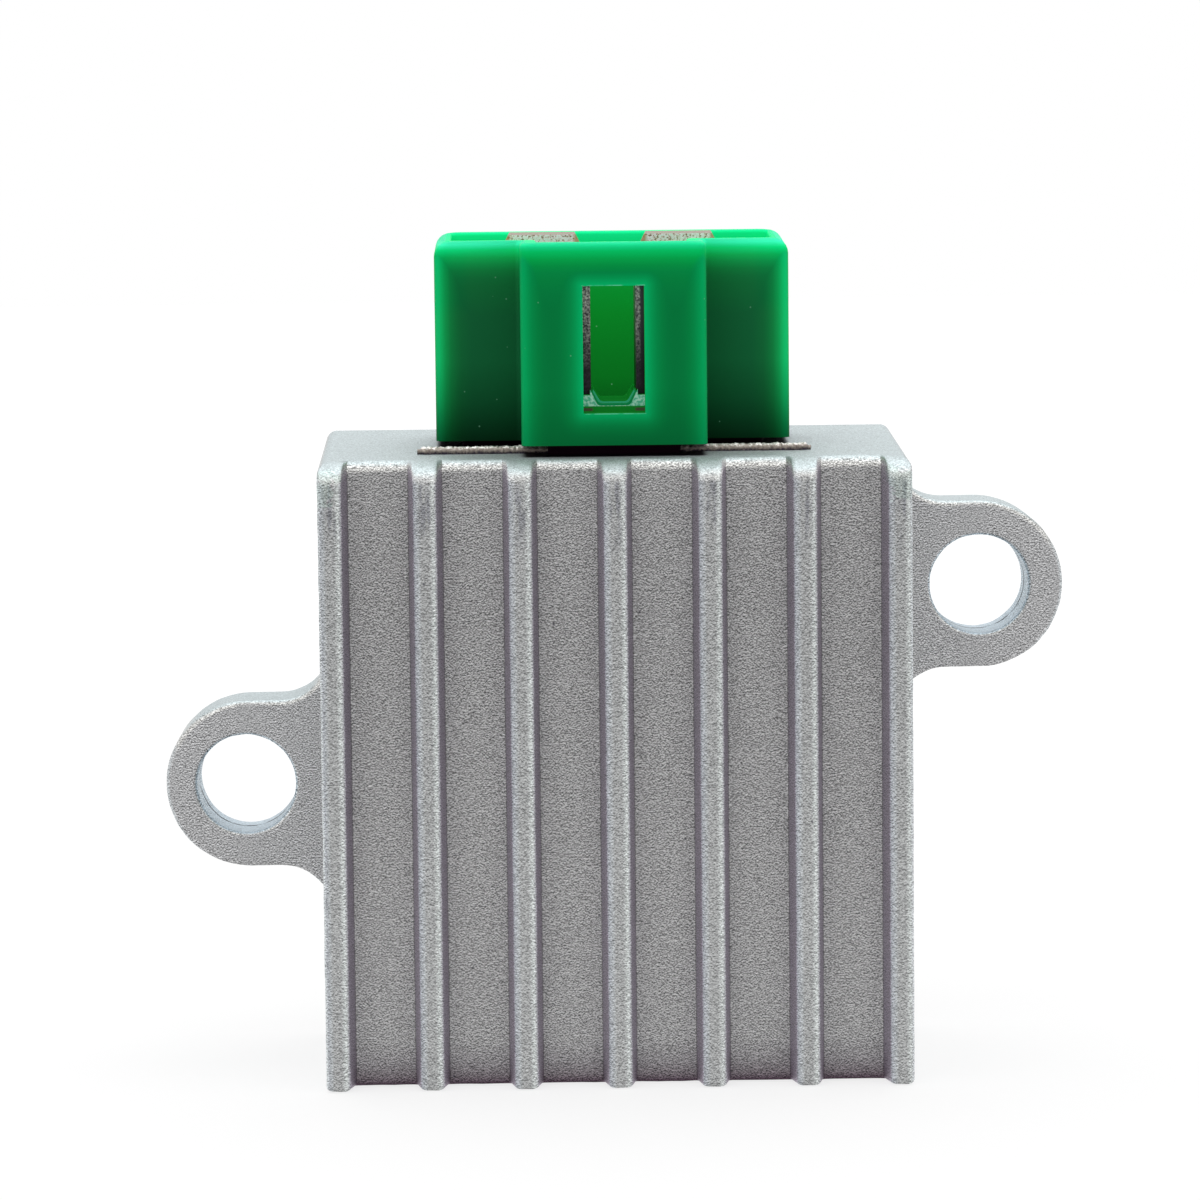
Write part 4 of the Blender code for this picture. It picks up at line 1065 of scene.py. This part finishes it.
class REGULATOR_OT_connector_shell(bpy.types.Operator):
    """Builds the green T-shaped shroud with its latch window"""

    bl_idname = "regulator.connector_shell"
    bl_label = "Connector shell"

    def execute(self, context):
        nylon = moulded_nylon(context.scene.connector)
        shell = mesh_object("connector_shroud", shell_block(), nylon)
        cut(shell, shell_mouth())
        neck = neck_outline(0.0, BAR_REAR - NECK_INSET)
        unite(shell, loft([level(neck, SHELL[0][2]), level(neck, SHELL_BASE + SHELL_FLOOR / 2)]))
        dam_half = BAR_HALF - NECK_INSET
        unite(shell, box(
            (SHELL_CENTRE - dam_half, (BAR_FRONT + BAR_REAR) / 2, SHELL[0][2] + CLEARANCE),
            (SHELL_CENTRE + dam_half, POTTING_FACE, SHELL_BASE + DAM_STEP)))
        stem_blades = [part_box(f"stem_terminal_{word}") for word in ("left", "right")]
        bar_blades = [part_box(f"crossbar_terminal_{word}") for word in ("left", "right")]
        seat_y = stem_blades[0][0][1] + BLADE_WIDTH / 2
        bed_front = STEM_FRONT + WALL + CLEARANCE
        for step in range(BED_STEPS):
            unite(shell, blade_bed(bed_front, step))
        long, thin = TAIL_WIDTH / 2 + CLEARANCE, BLADE_THICKNESS / 2 + CLEARANCE
        bottom, top = SHELL[0][2] - NECK_LENGTH, SHELL_FLOOR_TOP + SHELL_FLOOR
        for low, high in stem_blades:
            x = (low[0] + high[0]) / 2
            cut(shell, box((x - thin, seat_y - long, bottom), (x + thin, seat_y + long, top)))
        for low, high in bar_blades:
            x, y = (low[0] + high[0]) / 2, (low[1] + high[1]) / 2
            cut(shell, box((x - long, y - thin, bottom), (x + long, y + thin, top)))
        cut(shell, box(
            (SHELL_CENTRE - WINDOW_HALF, STEM_FRONT - WALL, WINDOW_BASE),
            (SHELL_CENTRE + WINDOW_HALF, bed_front, WINDOW_BASE + WINDOW_HEIGHT)))
        self.mark_inside(shell)
        smooth(shell, SHELL_SMOOTH)
        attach(shell, "root")
        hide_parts("connector_shell")
        return {"FINISHED"}

    def mark_inside(self, shell):
        """A face attribute, 1 on the walls and floor of the hollow, that the nylon reads."""
        marks = shell.data.attributes.new("inside", "FLOAT", "FACE")
        for face in shell.data.polygons:
            x, y, z = face.center
            side = BAR_HALF if y > BAR_FRONT + WALL / 2 else STEM_HALF
            past_skin = WALL * 0.6
            hollow = (abs(x - SHELL_CENTRE) < side - past_skin and z > SHELL_FLOOR_TOP - MM
                      and STEM_FRONT + past_skin < y < BAR_REAR - past_skin)
            marks.data[face.index].value = float(hollow)


class REGULATOR_OT_blades(bpy.types.Operator):
    """Gives the four blade terminals their tinned finish"""

    bl_idname = "regulator.blades"
    bl_label = "Blade terminals"

    def execute(self, context):
        give(tinned_brass(context.scene.connector), "crossbar_terminal_left",
             "crossbar_terminal_right", "stem_terminal_left", "stem_terminal_right")
        return {"FINISHED"}


class REGULATOR_OT_potting(bpy.types.Operator):
    """Finishes the resin and the pieces that are sealed in it"""

    bl_idname = "regulator.potting"
    bl_label = "Potting and electronics"

    def execute(self, context):
        # Poured and set level: black and glossy, with a slow swell
        give(plain_finish("Poured black epoxy", "#0e0e10", "#1c1c1f", 2.5 * MM, 0.22, 0.35),
             "potting_compound")
        # Pressed from paper and resin: a dull brownish yellow
        give(plain_finish("Bare laminate board", "#8f7f45", "#a8965a", 0.6 * MM, 0.6),
             "circuit_board")
        # Cast as a sheet: an even grey with no gloss
        give(plain_finish("Silicone heat pad", "#8b9092", "#9ea3a5", 0.4 * MM, 0.85),
             "insulating_pad")
        # Moulded round the chip: nearly black, satin, finely grained
        give(plain_finish("Moulded epoxy package", "#17171a", "#232327", 0.3 * MM, 0.55),
             "charging_thyristor", "lighting_thyristor", "rectifier_diode", "driver_transistor")
        # Dipped in lacquer: tan, with a soft gloss
        give(plain_finish("Lacquered resistor", "#b89a70", "#ccb088", 0.5 * MM, 0.35),
             "gate_resistor_1", "gate_resistor_2", "sense_resistor_1", "sense_resistor_2")
        # Drawn glass over a coloured seal: orange and glossy
        give(plain_finish("Orange diode glass", "#a4431c", "#c05c2c", 0.8 * MM, 0.12),
             "zener_diode", "signal_diode_1", "signal_diode_2")
        # Shrunk on with heat: dark blue and smooth
        give(plain_finish("Shrunk plastic sleeve", "#141a38", "#1e2748", 1.2 * MM, 0.3),
             "smoothing_capacitor")
        return {"FINISHED"}


class REGULATOR_OT_stage(bpy.types.Operator):
    """Sets the floor, the soft studio light and the photograph's camera"""

    bl_idname = "regulator.stage"
    bl_label = "Stage"

    def execute(self, context):
        studio = context.scene.studio
        context.scene.view_settings.view_transform = "Standard"
        self.light_room(context, studio.room)
        self.lay_floor()
        for lamp in LAMPS:
            self.hang_lamp(context, *lamp)
        turn = (Matrix.Rotation(studio.roll, 3, "Y") @ Matrix.Rotation(studio.pitch, 3, "X")
                @ Matrix.Rotation(studio.yaw, 3, "Z")).transposed()
        data = bpy.data.cameras.new("Camera")
        data.lens, data.sensor_width, data.clip_start = studio.lens, SENSOR_WIDTH, NEAREST_SEEN
        camera = bpy.data.objects.new("Camera", data)
        upright_turn = Matrix.Rotation(math.pi / 2, 3, "X")
        camera.matrix_world = Matrix.Translation(studio.place) @ (turn @ upright_turn).to_4x4()
        context.scene.collection.objects.link(camera)
        context.scene.camera = camera
        return {"FINISHED"}

    def seen_directly(self, add):
        """1 for camera, glossy and transmission rays, which see the white background."""
        ray = add("LightPath").outputs
        share = add("Math", ray["Is Camera Ray"], ray["Is Glossy Ray"], operation="MAXIMUM")
        return add("Math", share, ray["Is Transmission Ray"], operation="MAXIMUM")

    def light_room(self, context, strength):
        """Even light from all round, in a room that is seen as plain white."""
        world = bpy.data.worlds.new("Studio")
        world.use_nodes = True
        world.node_tree.nodes.clear()
        context.scene.world = world
        add = partial(add_node, world.node_tree)
        room = add("Background", "#ffffff", strength)
        white = add("Background", "#ffffff", 1.0)
        add("OutputWorld", add("MixShader", self.seen_directly(add), room, white))

    def lay_floor(self):
        """A pale floor that keeps the object's shadow and, further off, is as white as the room."""
        half, top = FLOOR_SHEET_HALF, FOOT - FLOOR_SHEET_GAP
        floor = box((-half, -half, FOOT - FLOOR_SHEET_THICKNESS), (half, half, top))
        paper, add = new_material("White paper sweep")
        away = add("VectorMath", add("TexCoord").outputs["Object"], operation="LENGTH")
        fade = add("MapRange", away, 0.06, 0.35, 0.66, 0.95)
        share = add("Math", self.seen_directly(add), fade, operation="MULTIPLY")
        sheet, glow = add("BsdfDiffuse", "#e6e6e6"), add("Emission", "#ffffff", 1.12)
        add("OutputMaterial", add("MixShader", share, sheet, glow))
        mesh_object("floor", floor, paper)

    def hang_lamp(self, context, name, place, size, power):
        data = bpy.data.lights.new(name, "AREA")
        data.shape, data.size, data.energy = "SQUARE", size, power
        lamp = bpy.data.objects.new(name, data)
        lamp.location = place
        away = Vector(LAMP_TARGET) - Vector(place)
        lamp.rotation_euler = away.to_track_quat("-Z", "Y").to_euler()
        context.scene.collection.objects.link(lamp)


OPERATORS = (
    REGULATOR_OT_housing, REGULATOR_OT_gate_scar, REGULATOR_OT_connector_shell,
    REGULATOR_OT_blades, REGULATOR_OT_potting, REGULATOR_OT_stage,
)
SETTINGS = {"casting": CastingSettings, "connector": ConnectorSettings, "studio": StudioSettings}


class REGULATOR_PT_sidebar(bpy.types.Panel):
    """Lists the pieces and their sizes"""

    bl_idname = "REGULATOR_PT_sidebar"
    bl_label = "Regulator"
    bl_space_type = "VIEW_3D"
    bl_region_type = "UI"
    bl_category = "Regulator"

    def draw(self, context):
        for operator in OPERATORS:
            self.layout.operator(operator.bl_idname)
        for name, group in SETTINGS.items():
            part = self.layout.box()
            settings = getattr(context.scene, name)
            for key in group.__annotations__:
                part.prop(settings, key)


def register():
    for cls in (*SETTINGS.values(), *OPERATORS, REGULATOR_PT_sidebar):
        bpy.utils.register_class(cls)
    for name, group in SETTINGS.items():
        setattr(bpy.types.Scene, name, PointerProperty(type=group))


def unregister():
    for name in SETTINGS:
        delattr(bpy.types.Scene, name)
    for cls in reversed((*SETTINGS.values(), *OPERATORS, REGULATOR_PT_sidebar)):
        bpy.utils.unregister_class(cls)


def main():
    register()
    bpy.ops.regulator.housing()
    bpy.ops.regulator.gate_scar()
    bpy.ops.regulator.connector_shell()
    bpy.ops.regulator.blades()
    bpy.ops.regulator.potting()
    bpy.ops.regulator.stage()


if __name__ == "__main__":
    main()
